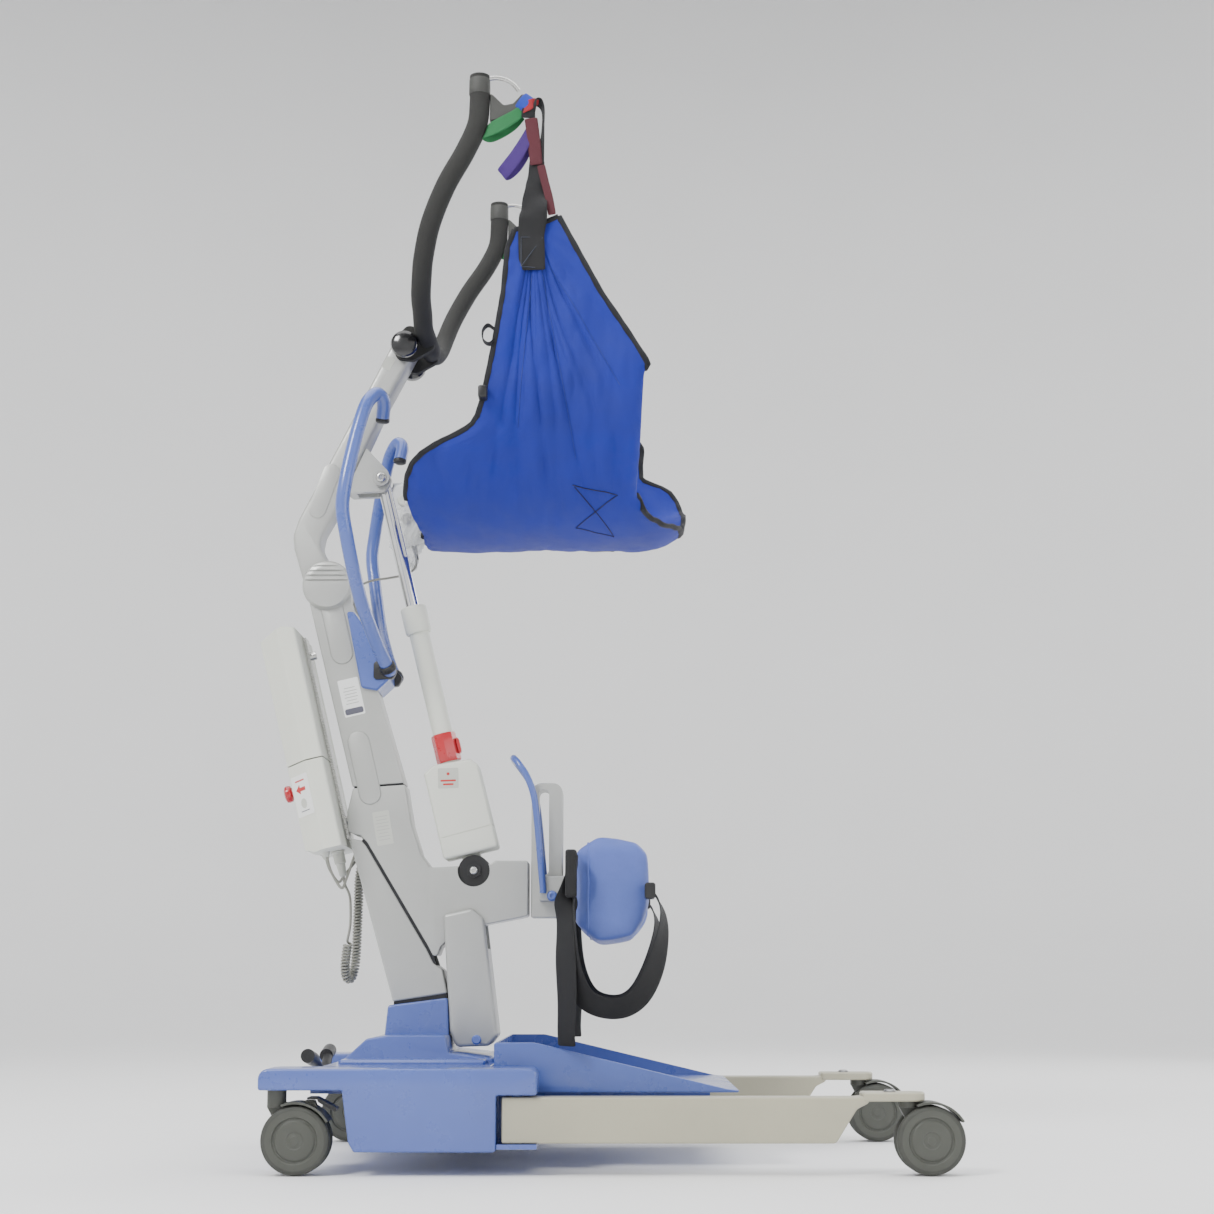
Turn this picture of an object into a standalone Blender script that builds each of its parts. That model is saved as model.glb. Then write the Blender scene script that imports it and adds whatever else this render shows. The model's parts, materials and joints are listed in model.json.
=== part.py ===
"""Patient lift hoist (sit-to-stand aid).

A wheeled base with two legs that spread, a raked mast, a curved boom lifted
by an electric actuator, a padded cradle bar with two hooks that carry a
standing sling, a knee pad on a height rail, and push handles, battery and
handset behind the mast. +X is forward, +Y the machine's left, +Z up, metres.
"""

import math

import bmesh
import bpy
from mathutils import Matrix, Vector

# ---------------------------------------------------------------- dimensions
# All in millimetres. SHIFT_X puts the middle of the outer box at X = 0.
SHIFT_X = 33.5

WHEEL_R = 50.0
AXLE_Z = 50.0
TREAD_Y = 300.0            # caster centre to the middle plane
REAR_STEM_X = -492.0
REAR_TRAIL = 30.0
FRONT_STEM_X = 428.0
FRONT_TRAIL = 31.0

LEG_PIVOT_X = -142.0
LEG_Y = 300.0
LEG_HALF = 22.0            # half the leg tube's width
LEG_Z0, LEG_Z1 = 46.0, 112.0
LEG_END_X = 321.0
PLATE_X0, PLATE_X1 = 360.0, 453.0
PLATE_Z0, PLATE_Z1 = 106.0, 119.0

COVER_INNER_Y, COVER_OUTER_Y = 240.0, 330.0
COVER_TOP = 153.0
RAISED_TOP = 195.0
SOCKET_TOP_REAR, SOCKET_TOP_FRONT = 240.0, 252.0

MAST_HALF_Y = 38.0
MAST_TILT = math.radians(13.3)
MAST_REAR_POINT = (-461.7, 687.8)   # a point on the mast's rear face
PIVOT = (-471.0, 922.0)             # boom pivot, X and Z
PIVOT_R = 41.0
BOOM_HALF_Y = 28.0

ACT_LOW = (-226.9, 455.2)           # actuator's lower pin
ACT_HIGH = (-386.2, 1104.9)         # actuator's upper pin
ROD_R = 11.0
TUBE_R = 16.5
COLLAR_R = 21.5

HOOK_Y = 262.0
SLING_Y = 262.0
SLING_T = 7.0
SLING_ARC_Z = 1247.0
SLING_LOW_Z = 994.0

BOX_HALF_Y = 95.0
BOX_N0, BOX_N1 = -80.0, -16.0       # rear and front faces behind the mast

PAD_HALF_Y = 210.0
RAIL_HALF_Y = 30.0

COLLECTION = "patient_lift_hoist"

# ------------------------------------------------------------------ helpers
for ob in list(bpy.data.objects):
    bpy.data.objects.remove(ob, do_unlink=True)

home = bpy.data.collections.new(COLLECTION)
bpy.context.scene.collection.children.link(home)
tools = bpy.data.collections.new(COLLECTION + "_cutters")
bpy.context.scene.collection.children.link(tools)


def P(x, y, z):
    """A point of the machine in metres."""
    return Vector(((x + SHIFT_X) / 1000.0, y / 1000.0, z / 1000.0))


def paint(name, colour, rough=0.45, metal=0.0):
    m = bpy.data.materials.new(name)
    m.use_nodes = True
    s = m.node_tree.nodes["Principled BSDF"]
    s.inputs["Base Color"].default_value = (*colour, 1.0)
    s.inputs["Roughness"].default_value = rough
    s.inputs["Metallic"].default_value = metal
    return m


BLUE = (0.13, 0.19, 0.52)
GREY = (0.45, 0.46, 0.44)
CREAM = (0.42, 0.40, 0.31)
OFFWHITE = (0.68, 0.70, 0.62)
BLACK = (0.02, 0.02, 0.022)
CASTER = (0.065, 0.07, 0.06)
STEEL = (0.62, 0.62, 0.62)
RED = (0.55, 0.03, 0.03)
SLINGBLUE = (0.012, 0.05, 0.42)


def add(mesh, name):
    ob = bpy.data.objects.new(name, mesh)
    home.objects.link(ob)
    return ob


def baked(ob):
    """The object again, as the plain mesh that its modifiers give."""
    bpy.context.view_layer.update()
    deps = bpy.context.evaluated_depsgraph_get()
    mesh = bpy.data.meshes.new_from_object(ob.evaluated_get(deps))
    mesh.transform(ob.matrix_world)
    name = ob.name
    bpy.data.objects.remove(ob, do_unlink=True)
    bm = bmesh.new()
    bm.from_mesh(mesh)
    bmesh.ops.remove_doubles(bm, verts=bm.verts, dist=1e-6)
    bm.to_mesh(mesh)
    bm.free()
    mesh.materials.clear()
    new = add(mesh, name)
    new.name = name
    return new


def finish(ob, material, angle=35.0):
    ob.data.materials.clear()
    ob.data.materials.append(material)
    ob.data.shade_smooth()
    ob.data.set_sharp_from_angle(angle=math.radians(angle))
    return ob


def combine(a, b, how):
    m = a.modifiers.new(how.lower(), "BOOLEAN")
    m.operation = how
    m.solver = "EXACT"
    m.object = b
    b.hide_render = True
    b.display_type = "WIRE"
    a = baked(a)
    bpy.data.objects.remove(b, do_unlink=True)
    return a


def join(a, *others):
    for b in others:
        a = combine(a, b, "UNION")
    return a


def cut(a, *others):
    for b in others:
        a = combine(a, b, "DIFFERENCE")
    return a


def keep(a, b):
    return combine(a, b, "INTERSECT")


def rounded(corners, default=0.0, steps=2):
    """A closed outline whose corners (x, z[, radius]) are rounded."""
    out = []
    n = len(corners)
    for i in range(n):
        p = Vector(corners[i][:2])
        r = corners[i][2] if len(corners[i]) > 2 else default
        a = Vector(corners[i - 1][:2]) - p
        b = Vector(corners[(i + 1) % n][:2]) - p
        la, lb = a.length, b.length
        a.normalize()
        b.normalize()
        half = a.angle(b) / 2.0
        if r <= 0 or half > math.radians(88.5):
            out.append(p)
            continue
        t = min(r / math.tan(half), 0.48 * la, 0.48 * lb)
        r = t * math.tan(half)
        c = p + (a + b).normalized() * (r / math.sin(half))
        p0, p1 = p + a * t, p + b * t
        v0, v1 = p0 - c, p1 - c
        turn = v0.angle_signed(v1, 0.0)
        for k in range(steps + 1):
            ang = -turn * k / steps
            q = Vector((v0.x * math.cos(ang) - v0.y * math.sin(ang),
                        v0.x * math.sin(ang) + v0.y * math.cos(ang)))
            out.append(c + q)
    return out


XZ = Matrix(((1, 0, 0, 0), (0, 0, -1, 0), (0, 1, 0, 0), (0, 0, 0, 1)))
YZ = Matrix(((0, 0, 1, 0), (1, 0, 0, 0), (0, 1, 0, 0), (0, 0, 0, 1)))
XY = Matrix.Identity(4)


def slab(name, outline, lo, hi, plane=XZ, bevel=0.0, segments=1, angle=40.0, move=(0, 0, 0)):
    """A flat outline given thickness, from lo to hi along the plane's normal."""
    cu = bpy.data.curves.new(name, "CURVE")
    cu.dimensions = "2D"
    cu.fill_mode = "BOTH"
    cu.extrude = (hi - lo) / 2000.0
    sp = cu.splines.new("POLY")
    sp.points.add(len(outline) - 1)
    for q, p in zip(sp.points, outline):
        q.co = (p[0] / 1000.0, p[1] / 1000.0, 0.0, 1.0)
    sp.use_cyclic_u = True
    ob = bpy.data.objects.new(name, cu)
    home.objects.link(ob)
    mid = (lo + hi) / 2000.0
    if plane is XZ:
        mid = -mid
    ob.matrix_world = (Matrix.Translation(P(*move)) @ plane
                       @ Matrix.Translation((0, 0, mid)))
    ob = baked(ob)
    bm = bmesh.new()
    bm.from_mesh(ob.data)
    bmesh.ops.remove_doubles(bm, verts=bm.verts, dist=2e-6)
    bmesh.ops.dissolve_limit(bm, angle_limit=0.002, verts=bm.verts, edges=bm.edges)
    bmesh.ops.recalc_face_normals(bm, faces=bm.faces)
    bm.to_mesh(ob.data)
    bm.free()
    if bevel:
        m = ob.modifiers.new("bevel", "BEVEL")
        m.width = bevel / 1000.0
        m.segments = segments
        m.limit_method = "ANGLE"
        m.angle_limit = math.radians(angle)
        ob = baked(ob)
    return ob


def block(name, x0, x1, y0, y1, z0, z1, bevel=0.0, segments=1):
    bm = bmesh.new()
    bmesh.ops.create_cube(bm, size=1.0)
    for v in bm.verts:
        v.co = P(x0 + (v.co.x + 0.5) * (x1 - x0), y0 + (v.co.y + 0.5) * (y1 - y0),
                 z0 + (v.co.z + 0.5) * (z1 - z0))
    mesh = bpy.data.meshes.new(name)
    bm.to_mesh(mesh)
    bm.free()
    ob = add(mesh, name)
    if bevel:
        m = ob.modifiers.new("bevel", "BEVEL")
        m.width = bevel / 1000.0
        m.segments = segments
        ob = baked(ob)
    return ob


def rod(name, a, b, r, segments=20, r2=None):
    """A round bar between two points."""
    a, b = P(*a), P(*b)
    bm = bmesh.new()
    bmesh.ops.create_cone(bm, cap_ends=True, segments=segments, radius1=r / 1000.0,
                          radius2=(r if r2 is None else r2) / 1000.0, depth=(b - a).length)
    turn = (b - a).to_track_quat("Z", "Y").to_matrix().to_4x4()
    bm.transform(Matrix.Translation((a + b) / 2) @ turn)
    mesh = bpy.data.meshes.new(name)
    bm.to_mesh(mesh)
    bm.free()
    return add(mesh, name)


def turned(name, profile, origin, axis, segments=24):
    """A profile (radius, height), top to bottom, turned about an axis."""
    bm = bmesh.new()
    vs = [bm.verts.new((r / 1000.0, 0, h / 1000.0)) for r, h in profile]
    for a, b, (ra, _), (rb, _) in zip(vs, vs[1:], profile, profile[1:]):
        if ra > 0 or rb > 0:
            bm.edges.new((a, b))
    mesh = bpy.data.meshes.new(name)
    bm.to_mesh(mesh)
    bm.free()
    ob = add(mesh, name)
    m = ob.modifiers.new("screw", "SCREW")
    m.steps = segments
    m.render_steps = segments
    m.use_merge_vertices = True
    m.merge_threshold = 1e-5
    m.use_normal_calculate = True
    turn = Vector(axis).to_track_quat("Z", "Y").to_matrix().to_4x4()
    ob.matrix_world = Matrix.Translation(P(*origin)) @ turn
    ob = baked(ob)
    bm = bmesh.new()
    bm.from_mesh(ob.data)
    bmesh.ops.remove_doubles(bm, verts=bm.verts, dist=1e-5)
    bmesh.ops.recalc_face_normals(bm, faces=bm.faces)
    bm.to_mesh(ob.data)
    bm.free()
    return ob


def through(points, per=4):
    """Points along a smooth curve through the given ones."""
    pts = [Vector(p) for p in points]
    ext = [2 * pts[0] - pts[1]] + pts + [2 * pts[-1] - pts[-2]]
    out = []
    for i in range(1, len(ext) - 2):
        p0, p1, p2, p3 = ext[i - 1:i + 3]
        for k in range(per):
            t = k / per
            out.append(0.5 * ((2 * p1) + (p2 - p0) * t + (2 * p0 - 5 * p1 + 4 * p2 - p3) * t * t
                              + (3 * p1 - p0 - 3 * p2 + p3) * t ** 3))
    out.append(pts[-1])
    return out


def tube(name, points, r, resolution=2):
    """A round tube along points, with filled ends."""
    cu = bpy.data.curves.new(name, "CURVE")
    cu.dimensions = "3D"
    cu.bevel_depth = r / 1000.0
    cu.bevel_resolution = resolution
    cu.use_fill_caps = True
    sp = cu.splines.new("POLY")
    sp.points.add(len(points) - 1)
    for q, p in zip(sp.points, points):
        q.co = (*P(*p), 1.0)
    ob = bpy.data.objects.new(name, cu)
    home.objects.link(ob)
    return baked(ob)


def ribbon(name, path, thick, y0, y1):
    """A flat band that follows a path in the X-Z plane."""
    pts = [Vector(p) for p in path]
    left, right = [], []
    for i, p in enumerate(pts):
        d = (pts[min(i + 1, len(pts) - 1)] - pts[max(i - 1, 0)]).normalized()
        n = Vector((-d.y, d.x)) * thick / 2
        left.append(p + n)
        right.append(p - n)
    return slab(name, left + right[::-1], y0, y1)


def mirrored(ob, name):
    """The same piece on the other side of the middle plane."""
    mesh = ob.data.copy()
    mesh.transform(Matrix.Scale(-1, 4, (0, 1, 0)))
    mesh.flip_normals()
    return add(mesh, name)


def in_mast(n, t):
    """X and Z of a point n ahead of the mast's rear face and t up along it."""
    c, s = math.cos(MAST_TILT), math.sin(MAST_TILT)
    return (MAST_REAR_POINT[0] + n * c - t * s, MAST_REAR_POINT[1] + n * s + t * c)


ACT_DIR = (Vector(ACT_HIGH) - Vector(ACT_LOW)).normalized()
ACT_LEN = (Vector(ACT_HIGH) - Vector(ACT_LOW)).length


def on_act(n, u):
    """X and Z of a point u along the actuator and n ahead of its axis."""
    return (ACT_LOW[0] + ACT_DIR.x * u + ACT_DIR.y * n, ACT_LOW[1] + ACT_DIR.y * u - ACT_DIR.x * n)


def circle(cx, cz, r, n=24, start=0.0, end=2 * math.pi):
    closed = abs(end - start) > 6.28
    k = n if closed else n + 1
    return [(cx + r * math.cos(start + (end - start) * i / n),
             cz + r * math.sin(start + (end - start) * i / n)) for i in range(k)]


def pair(ob, right, left, material, angle=35.0):
    """Names a right-hand piece, paints it, and makes the left-hand one."""
    ob.name = right
    finish(ob, material, angle)
    other = mirrored(ob, left)
    finish(other, material, angle)
    return ob, other


blue = paint("blue_cover", BLUE, 0.35)
grey = paint("mast_grey", GREY, 0.5)
cream = paint("leg_cream", CREAM, 0.4)
white = paint("offwhite_plastic", OFFWHITE, 0.5)
black = paint("black_plastic", BLACK, 0.45)
foam = paint("black_foam", (0.03, 0.03, 0.028), 0.9)
castergrey = paint("caster_plastic", CASTER, 0.55)
steel = paint("steel", STEEL, 0.25, 1.0)
chrome = paint("chrome", (0.75, 0.75, 0.75), 0.1, 1.0)
red = paint("red_plastic", RED, 0.35)
fabric = paint("sling_fabric", SLINGBLUE, 0.9)
vinyl = paint("pad_vinyl", (0.12, 0.18, 0.5), 0.6)
webbing = paint("webbing", (0.015, 0.015, 0.02), 0.85)

# -------------------------------------------------------------------- base
beam = block("base_beam", -345, -150, -238.5, 238.5, 44, 112)
rest = block("rest", -152, 150, -85, 85, 88, 112.4)
lip_r = block("lip_r", -170, -112, -325, -200, 38, 45.0)
lip_l = block("lip_l", -170, -112, 200, 325, 38, 45.0)
bolt_r = rod("bolt_r", (LEG_PIVOT_X, -LEG_Y, 40), (LEG_PIVOT_X, -LEG_Y, 114.4), 8, 16)
bolt_l = rod("bolt_l", (LEG_PIVOT_X, LEG_Y, 40), (LEG_PIVOT_X, LEG_Y, 114.4), 8, 16)
low = block("low", -240, -150, -238.5, 238.5, 38, 50)
base_beam = finish(join(beam, low, rest, lip_r, lip_l, bolt_r, bolt_l), paint("beam_paint", BLUE, 0.4))

side = slab("side_cover_right", rounded([
    (-516, 122, 4), (-516, 153, 16), (-112, 153, 12), (-112, 115, 4), (-171, 115),
    (-171, 34, 5), (-376, 34, 6), (-384, 48, 8), (-394, 122)], steps=2),
    -COVER_OUTER_Y, -COVER_INNER_Y, bevel=5, segments=1, angle=50)
side_cover_right, side_cover_left = pair(side, "side_cover_right", "side_cover_left", blue)

low = slab("centre_cover", rounded([
    (-453, 112.5), (-453, 140, 6), (-436, 153, 6), (-182.5, 153, 4), (-182.5, 112.5)], steps=2),
    -239.5, 239.5)
high = slab("high", rounded([
    (-428, 120), (-428, 150), (-384, 190, 10), (-352, 195, 10), (-262, 195, 6), (-257, 168, 3),
    (-190, 160, 6), (-184, 150), (-184, 120)], steps=2), -130, 130, bevel=9, segments=1, angle=50)
wide = slab("wide", rounded([(-420, 120), (-420, 160, 4), (-196, 160, 4), (-196, 120)], steps=1),
            -185, 185, bevel=5, segments=1, angle=60)
socket = slab("socket", rounded([
    (-368, 170), (-361, SOCKET_TOP_REAR, 5), (-266, SOCKET_TOP_FRONT, 4), (-262, 170)], steps=2),
    -50, 50, bevel=4, segments=1, angle=50)
centre_cover = finish(join(low, wide, high, socket), blue)

tray_out = slab("foot_tray", rounded([
    (-181, 113), (-181, 187, 4), (-120, 187, 30), (168, 118.5, 12), (188, 116), (186, 113)], steps=2),
    -220, 220, bevel=2, segments=1, angle=50)
tray_in = slab("tray_in", rounded([
    (-175, 118), (-175, 240), (230, 240), (230, 118)]), -214, 214)
foot_tray = finish(cut(tray_out, tray_in), blue)

bar = tube("spreader_pedal", through([
    (-476, -118, 163), (-474, -90, 160), (-471, -50, 146), (-470, 0, 131),
    (-471, 50, 146), (-474, 90, 160), (-476, 118, 163)], 2), 8, 2)
boss = rod("boss", (-453.6, 0, 131), (-484, 0, 131), 13, 20)
tread_r = rod("tread_r", (-476, -120, 163.4), (-475, -72, 156.5), 11, 14)
tread_l = rod("tread_l", (-476, 120, 163.4), (-475, 72, 156.5), 11, 14)
spreader_pedal = finish(join(bar, boss, tread_r, tread_l), black)

# ----------------------------------------------------- legs and casters
leg = slab("leg_right", rounded([
    (LEG_PIVOT_X - 21, LEG_Z0, 3), (LEG_PIVOT_X - 21, LEG_Z1, 3), (352, LEG_Z1, 20),
    (370, LEG_Z1 + 2), (370, PLATE_Z0 - 2, 10), (352, 95, 12), (LEG_END_X, LEG_Z0, 8)], steps=2),
    -LEG_Y - LEG_HALF, -LEG_Y + LEG_HALF, bevel=8, segments=1, angle=50)


def flat(name, outline, z0, z1, bevel=0.0, segments=1, angle=60.0):
    """An outline in X-Y given height from z0 to z1."""
    return slab(name, outline, z0, z1, plane=XY, bevel=bevel, segments=segments, angle=angle)


plate = flat("plate", rounded([
    (PLATE_X0, -LEG_Y - 24, 6), (PLATE_X1, -LEG_Y - 24, 22), (PLATE_X1, -LEG_Y + 24, 22),
    (PLATE_X0, -LEG_Y + 24, 6)], steps=2), PLATE_Z0, PLATE_Z1, bevel=2)
hole = rod("hole", (LEG_PIVOT_X, -LEG_Y, 20), (LEG_PIVOT_X, -LEG_Y, 140), 8.6, 16)
leg_right, leg_left = pair(cut(join(leg, plate), hole), "leg_right", "leg_left", cream)


def caster(tag, stem_x, trail, top):
    """One twin-wheel caster on the right-hand side: fork and wheel."""
    ax = stem_x + trail
    fin = slab("caster", rounded([
        (stem_x - 13, 97, 4), (stem_x - 13, 104), (stem_x + 30, 104, 6), (ax + 20, 84, 10),
        (ax + 17, 40, 14), (ax - 12, 34, 12), (stem_x + 6, 62, 10)], steps=2),
        -TREAD_Y - 7, -TREAD_Y + 7)
    stem = rod("stem", (stem_x, -TREAD_Y, 97), (stem_x, -TREAD_Y, top), 14, 20)
    arch = circle(ax, AXLE_Z, 52.2, 7, math.radians(30), math.radians(112))
    arch += circle(ax, AXLE_Z, 55.4, 7, math.radians(112), math.radians(30))
    hood = slab("hood", arch, -TREAD_Y - 25, -TREAD_Y + 25)
    bore = rod("bore", (ax, -TREAD_Y - 40, AXLE_Z), (ax, -TREAD_Y + 40, AXLE_Z), 8.6, 16)
    fork = cut(join(fin, stem, hood), bore)
    wheel = turned("wheel", [
        (0, 24.5), (46, 24.5), (WHEEL_R, 20.5), (WHEEL_R, 12.5), (47, 8.5), (8, 8.5), (8, -8.5),
        (47, -8.5), (WHEEL_R, -12.5), (WHEEL_R, -20.5), (46, -24.5), (0, -24.5)],
        (ax, -TREAD_Y, AXLE_Z), (0, 1, 0), 24)
    return fork, wheel


fork, wheel = caster("front", FRONT_STEM_X, FRONT_TRAIL, PLATE_Z0 - 0.5)
front_caster_right, front_caster_left = pair(fork, "front_caster_right", "front_caster_left", castergrey)
front_wheel_right, front_wheel_left = pair(wheel, "front_wheel_right", "front_wheel_left", castergrey)
fork, wheel = caster("rear", REAR_STEM_X, REAR_TRAIL, 121.5)
ear = slab("ear", rounded([(-452, 96), (-452, 107, 3), (-436, 107, 3), (-432, 96)], steps=2),
           -TREAD_Y - 7, -TREAD_Y + 7)
fork = join(fork, ear)
rear_caster_right, rear_caster_left = pair(fork, "rear_caster_right", "rear_caster_left", castergrey)
rear_wheel_right, rear_wheel_left = pair(wheel, "rear_wheel_right", "rear_wheel_left", castergrey)

pedal = slab("brake", rounded([
    (-446, 108.5), (-446, 112, 2), (-432, 112, 4), (-402, 96, 3), (-404, 90, 2), (-430, 104.6, 3),
    (-431.4, 108.5)], steps=2), -TREAD_Y - 14, -TREAD_Y + 14)
brake_pedal_right, brake_pedal_left = pair(pedal, "brake_pedal_right", "brake_pedal_left", black)

# -------------------------------------------------------------------- mast
mast_foot = finish(slab("mast_foot", rounded([
    (-428.5, 507, 3), (-409, 504, 4), (-400.6, 494, 6), (-302, 329.5, 20), (-290, 306.5, 8),
    (-275.6, 296.6, 8), (-267.4, 258.8, 3), (-354.5, 245.7, 3)], steps=2),
    -MAST_HALF_Y, MAST_HALF_Y, bevel=7, segments=1, angle=50), grey)

body = slab("mast_body", rounded([
    (-422, 514, 4), (-431, 519, 6), (-432, 550, 20), (-423.6, 588, 2), (-339.7, 594, 2),
    (-329, 531, 20), (-313, 481, 14), (-297, 460, 8), (-252, 462, 3), (-200, 466, 3),
    (-192, 471, 4), (-139, 471, 4), (-139, 382, 6), (-205, 369, 10), (-262, 349, 14),
    (-279, 333, 10), (-287, 311, 8), (-300, 336, 16), (-399, 500.5, 8), (-410.5, 512, 5)], steps=2),
    -MAST_HALF_Y, MAST_HALF_Y, bevel=7, segments=1, angle=50)
notch = slab("notch", circle(ACT_LOW[0], ACT_LOW[1], 26, 28), -60, 60)
mast_body = finish(cut(body, notch), grey)

tube_out = slab("mast_tube", rounded([
    (-424.5, 591, 2), (-503, 905, 40), (-503, 930, 20)]
    + [(PIVOT[0] + PIVOT_R * math.cos(a), PIVOT[1] + PIVOT_R * math.sin(a))
       for a in [math.radians(d) for d in range(150, -20, -15)]]
    + [(-430, 893, 20), (-341.5, 597, 2)], steps=2),
    -MAST_HALF_Y, MAST_HALF_Y, bevel=7, segments=1, angle=50)
slot = slab("slot", [(-560, 872), (-380, 884), (-380, 1010), (-560, 1010)], -BOOM_HALF_Y - 0.6,
            BOOM_HALF_Y + 0.6)
axle_hole = rod("axle_hole", (PIVOT[0], -60, PIVOT[1]), (PIVOT[0], 60, PIVOT[1]), 10.5, 20)
mast_tube = finish(cut(tube_out, slot, axle_hole), grey)

cap = turned("cap", [
    (0, 12.0), (30, 12.0), (37, 9.5), (40, 5.0), (PIVOT_R, 0.0), (0, 0.0)],
    (PIVOT[0], -MAST_HALF_Y - 0.4, PIVOT[1]), (0, -1, 0), 20)
for k in range(4):
    z = PIVOT[1] + 5 + 8 * k
    groove = block("groove", PIVOT[0] - 45, PIVOT[0] + 45, -60, -MAST_HALF_Y - 9.6, z, z + 3)
    cap = cut(cap, groove)
pivot_cap_right, pivot_cap_left = pair(cap, "pivot_cap_right", "pivot_cap_left", grey)

boom_axle = finish(rod("boom_axle", (PIVOT[0], -MAST_HALF_Y, PIVOT[1]), (PIVOT[0], MAST_HALF_Y, PIVOT[1]),
                       10, 20), steel)

strut = slab("mast_strut", rounded([
    (-274, 384, 6), (-229, 394, 8), (-209, 377.5, 10), (-186, 192, 12), (-199, 176, 10),
    (-252, 174, 12), (-262, 200, 10)], steps=2), -50, 50, bevel=6, segments=1, angle=50)
room = slab("room", [(-300, 330), (-150, 330), (-150, 420), (-300, 420)],
            -MAST_HALF_Y - 0.7, MAST_HALF_Y + 0.7)
mast_strut = finish(cut(strut, room), grey)

# -------------------------------------------------------------------- boom
arm = slab("boom", rounded([
    (-511, 925, 10), (-517, 946, 20), (-529, 986, 30), (-531, 1009, 30), (-522, 1037, 40),
    (-470, 1139), (-394, 1291), (-373, 1333, 12), (-354, 1346, 8), (-330, 1329, 8), (-377, 1238),
    (-404, 1177), (-461, 1050, 40), (-482, 1012, 30), (-486, 990, 20), (-470, 962, 14),
    (-436, 935, 10)], steps=2), -BOOM_HALF_Y, BOOM_HALF_Y, bevel=6, segments=1, angle=50)
root = slab("root", circle(PIVOT[0], PIVOT[1], 39.5, 32), -BOOM_HALF_Y, BOOM_HALF_Y)
hole = rod("hole", (PIVOT[0], -60, PIVOT[1]), (PIVOT[0], 60, PIVOT[1]), 10.5, 20)
tip_hole = rod("tip_hole", (-347, -60, 1322), (-347, 60, 1322), 9.5, 16)
boom = finish(cut(join(arm, root), hole, tip_hole), grey)

gusset = slab("boom_gusset", rounded([
    (-413.5, 1158, 3), (-376, 1118, 8), (-371, 1098, 10), (-379, 1084, 6), (-438, 1081, 3),
    (-444.3, 1085, 2)], steps=2), -24, 24)
edge_cut = slab("edge_cut", [(-460.4, 1050), (-403.4, 1177), (-403.4, 1200), (-480, 1200), (-480, 1050)],
                -60, 60)
mouth = slab("mouth", [(-433, 1070), (-407, 1132), (-395, 1160), (-340, 1160), (-340, 1070)], -14, 14)
gusset = cut(gusset, edge_cut, mouth)
bush_r = rod("bush_r", (ACT_HIGH[0], -32, ACT_HIGH[1]), (ACT_HIGH[0], -20, ACT_HIGH[1]), 11, 20)
bush_l = rod("bush_l", (ACT_HIGH[0], 32, ACT_HIGH[1]), (ACT_HIGH[0], 20, ACT_HIGH[1]), 11, 20)
boom_gusset = finish(join(gusset, bush_r, bush_l), grey)

# ---------------------------------------------------------------- actuator
case = slab("actuator_housing", rounded([
    on_act(-43, 28), on_act(-43, 172), on_act(-24, 182), on_act(36, 178), on_act(46, 166),
    on_act(47, 28)], 5.0, 3), -38, 38, bevel=5, segments=1, angle=50)
neck = slab("neck", [on_act(-15, 0), on_act(-15, 34), on_act(15, 34), on_act(15, 0)], -11, 11)
eye = slab("eye", circle(*ACT_LOW, 16, 24), -12, 12)
pin_hole = rod("pin_hole", (ACT_LOW[0], -60, ACT_LOW[1]), (ACT_LOW[0], 60, ACT_LOW[1]), 8.6, 16)
actuator_housing = finish(cut(join(case, neck, eye), pin_hole), white)


def along(profile, name, segments=24):
    """A turned piece on the actuator's axis, heights measured from its lower pin."""
    return turned(name, profile, (ACT_LOW[0], 0, ACT_LOW[1]), (ACT_DIR.x, 0, ACT_DIR.y), segments)


actuator_tube = finish(along([
    (11.6, 450), (20, 450), (COLLAR_R, 448), (COLLAR_R, 408), (20, 405), (TUBE_R, 405), (TUBE_R, 183),
    (0, 183), (0, 204), (11.6, 204), (11.6, 450)], "actuator_tube"), white)

ring = along([(17.2, 232), (19.5, 232), (20.5, 229), (20.5, 187), (19.5, 184.5), (17.2, 184.5), (17.2, 232)],
             "release_ring", 16)
tab = slab("tab", rounded([on_act(19, 224), on_act(24, 218), on_act(24, 198), on_act(19, 192)], 2, 1),
           -7, 7)
release_ring = finish(join(ring, tab), red)

shaft = along([(0, 660), (ROD_R, 660), (ROD_R, 410), (0, 410)], "actuator_rod", 20)
head = slab("head", circle(*ACT_HIGH, 15, 24), -11, 11)
actuator_rod = finish(join(shaft, head), chrome)

ears = []
for s in (-1, 1):
    ears.append(slab("ear", circle(*ACT_LOW, 25.6, 28), min(s * 14, s * 30), max(s * 14, s * 30)))
axle = rod("axle", (ACT_LOW[0], -34, ACT_LOW[1]), (ACT_LOW[0], 34, ACT_LOW[1]), 8, 16)
bolt = rod("bolt", (ACT_LOW[0], -37, ACT_LOW[1]), (ACT_LOW[0], -29, ACT_LOW[1]), 12, 6)
nut = rod("nut", (ACT_LOW[0], 37, ACT_LOW[1]), (ACT_LOW[0], 29, ACT_LOW[1]), 12, 6)
actuator_pin = join(ears[0], axle, ears[1], bolt, nut)
actuator_pin.name = "actuator_pin"
finish(actuator_pin, black)

# ------------------------------------------------------- battery and control
rail = slab("battery_bracket", [in_mast(-15.6, -182), in_mast(-15.6, 158), in_mast(-10.6, 158),
                                in_mast(-10.6, -182)], -17, 17)
feet = []
for t in (-150, 128):
    a, b = in_mast(-12, t), in_mast(-7.5 if t < 0 else -1.6, t)
    feet.append(rod("foot", (a[0], 0, a[1]), (b[0], 0, b[1]), 7, 14))
battery_bracket = finish(join(rail, *feet), steel)


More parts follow.
